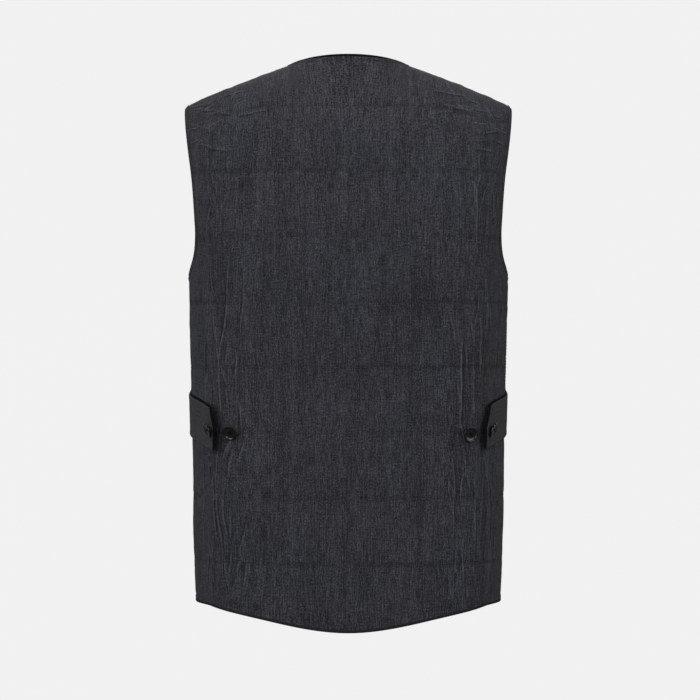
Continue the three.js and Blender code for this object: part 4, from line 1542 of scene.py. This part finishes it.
class VEST_OT_buttons(bpy.types.Operator):
    """Make the nine buttons and their threads"""

    bl_idname = "vest.buttons"
    bl_label = "Buttons"

    def execute(self, context):
        shape, thread = button_shape(), thread_cross_shape()
        nodes = sorted(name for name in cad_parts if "button" in name)
        if not nodes:
            raise RuntimeError("the packed model has no buttons")
        for k, node in enumerate(nodes):
            place = button_place(node, 0.7 * k)
            for mesh, name, finish, replaced in (
                (shape, f"{node}_horn", "horn", (node,)),
                (thread, f"{node}_thread", "edging", ()),
            ):
                copy = mesh.copy()
                copy.name = name
                copy.transform(place)
                piece = link_piece(name, copy, finish_for(finish))
                smooth(piece, 35)
                finish_piece(piece, "horn", *replaced)
        bpy.data.meshes.remove(shape)
        bpy.data.meshes.remove(thread)
        return {"FINISHED"}


# ------------------------------------------------------------------------------------ studio

CAMERA_DISTANCE = 3.0
FIELD_WIDTH = 0.840  # the width seen at the side seams
SENSOR = 36.0


class VEST_OT_studio(bpy.types.Operator):
    """Set the plain pale floor, the soft lights and the camera behind the vest"""

    bl_idname = "vest.studio"
    bl_label = "Studio"

    def execute(self, context):
        self.floor()
        self.lights()
        self.camera()
        context.scene.view_settings.view_transform = "Standard"
        return {"FINISHED"}

    def floor(self):
        """A floor, and a dome round it all. They are seen, but don't light the vest."""
        bpy.ops.object.select_all(action="DESELECT")
        bpy.ops.mesh.primitive_plane_add(size=16, location=(0, 0, -1.1))
        floor = bpy.context.object
        floor.name = "floor"
        bpy.ops.mesh.primitive_uv_sphere_add(segments=48, ring_count=24, radius=12)
        dome = bpy.context.object
        dome.name = "backdrop"
        pale = Finish("pale_floor")
        shade = pale.noise(pale.node("ShaderNodeTexCoord").outputs["Object"], 1.0, 0.5, "3D")
        colour = pale.mix(shade, (0.8792, 0.8792, 0.8792), (0.8812, 0.8812, 0.8812))
        pale.surface(Base_Color=(0.0, 0.0, 0.0, 1.0), Roughness=1.0, Emission_Color=colour,
                     Emission_Strength=1.0, Specular_IOR_Level=0.0)
        for piece in (floor, dome):
            piece.data.materials.append(pale.material)
            piece.visible_diffuse = False
            piece.visible_glossy = False
            piece.visible_shadow = False

    def lights(self):
        world = bpy.data.worlds.new("studio")
        bpy.context.scene.world = world
        world.use_nodes = True
        background = world.node_tree.nodes["Background"]
        background.inputs[0].default_value = (0.90, 0.90, 0.90, 1.0)
        background.inputs[1].default_value = 0.17
        # Name, place, what it points at, width in metres and power in watts
        softboxes = (
            ("light_key", (2.1, 1.7, 0.8), (0.0, 0.0, -0.2), 2.0, 40.0),
            ("light_fill", (-2.1, 1.7, 0.7), (0.0, 0.0, -0.2), 2.0, 38.0),
            ("light_behind", (0.3, 3.3, 0.7), (0.0, 0.0, -0.1), 1.2, 17.0),
            ("light_low", (1.2, 2.4, -0.9), (0.0, 0.0, -0.4), 0.4, 4.0),
            ("light_above", (0.0, 0.4, 1.7), (0.0, 0.0, -0.1), 0.8, 10.0),
            ("light_front", (0.0, -2.4, 0.8), (0.0, 0.0, -0.3), 1.6, 30.0),
        )
        for name, place, target, size, power in softboxes:
            light = bpy.data.lights.new(name, "AREA")
            light.shape = "SQUARE"
            light.size = size
            light.energy = power
            lamp = bpy.data.objects.new(name, light)
            bpy.context.scene.collection.objects.link(lamp)
            lamp.location = place
            lamp.rotation_euler = (Vector(target) - Vector(place)).to_track_quat("-Z", "Y").to_euler()

    def camera(self):
        camera = bpy.data.cameras.new("camera")
        camera.sensor_width = SENSOR
        camera.lens = SENSOR * CAMERA_DISTANCE / FIELD_WIDTH
        stand = bpy.data.objects.new("camera", camera)
        bpy.context.scene.collection.objects.link(stand)
        stand.location = (-0.00204, CAMERA_DISTANCE, -0.321)
        stand.rotation_euler = (math.pi / 2, 0.0, math.pi)
        bpy.context.scene.camera = stand


# ------------------------------------------------------------------------------------- panel


class VEST_PT_panel(bpy.types.Panel):
    """Lists the vest's pieces and their sizes and colours"""

    bl_idname = "VEST_PT_panel"
    bl_label = "Quilted vest"
    bl_space_type = "VIEW_3D"
    bl_region_type = "UI"
    bl_category = "Vest"

    def draw(self, context):
        layout = self.layout
        for operator in OPERATORS:
            layout.operator(operator.bl_idname)
        for group in (context.scene.vest_sizes, context.scene.vest_colours):
            box = layout.box()
            for name in group.bl_rna.properties.keys():
                if name not in ("rna_type", "name"):
                    box.prop(group, name)


OPERATORS = (
    VEST_OT_back_panel,
    VEST_OT_front_panels,
    VEST_OT_bindings,
    VEST_OT_tabs,
    VEST_OT_buttons,
    VEST_OT_studio,
)
CLASSES = (VestSizes, VestColours, *OPERATORS, VEST_PT_panel)


def register():
    for cls in CLASSES:
        bpy.utils.register_class(cls)
    bpy.types.Scene.vest_sizes = bpy.props.PointerProperty(type=VestSizes)
    bpy.types.Scene.vest_colours = bpy.props.PointerProperty(type=VestColours)


def unregister():
    del bpy.types.Scene.vest_sizes
    del bpy.types.Scene.vest_colours
    for cls in reversed(CLASSES):
        bpy.utils.unregister_class(cls)


def main():
    register()
    bpy.ops.vest.back_panel()
    bpy.ops.vest.front_panels()
    bpy.ops.vest.bindings()
    bpy.ops.vest.tabs()
    bpy.ops.vest.buttons()
    bpy.ops.vest.studio()


if __name__ == "__main__":
    main()
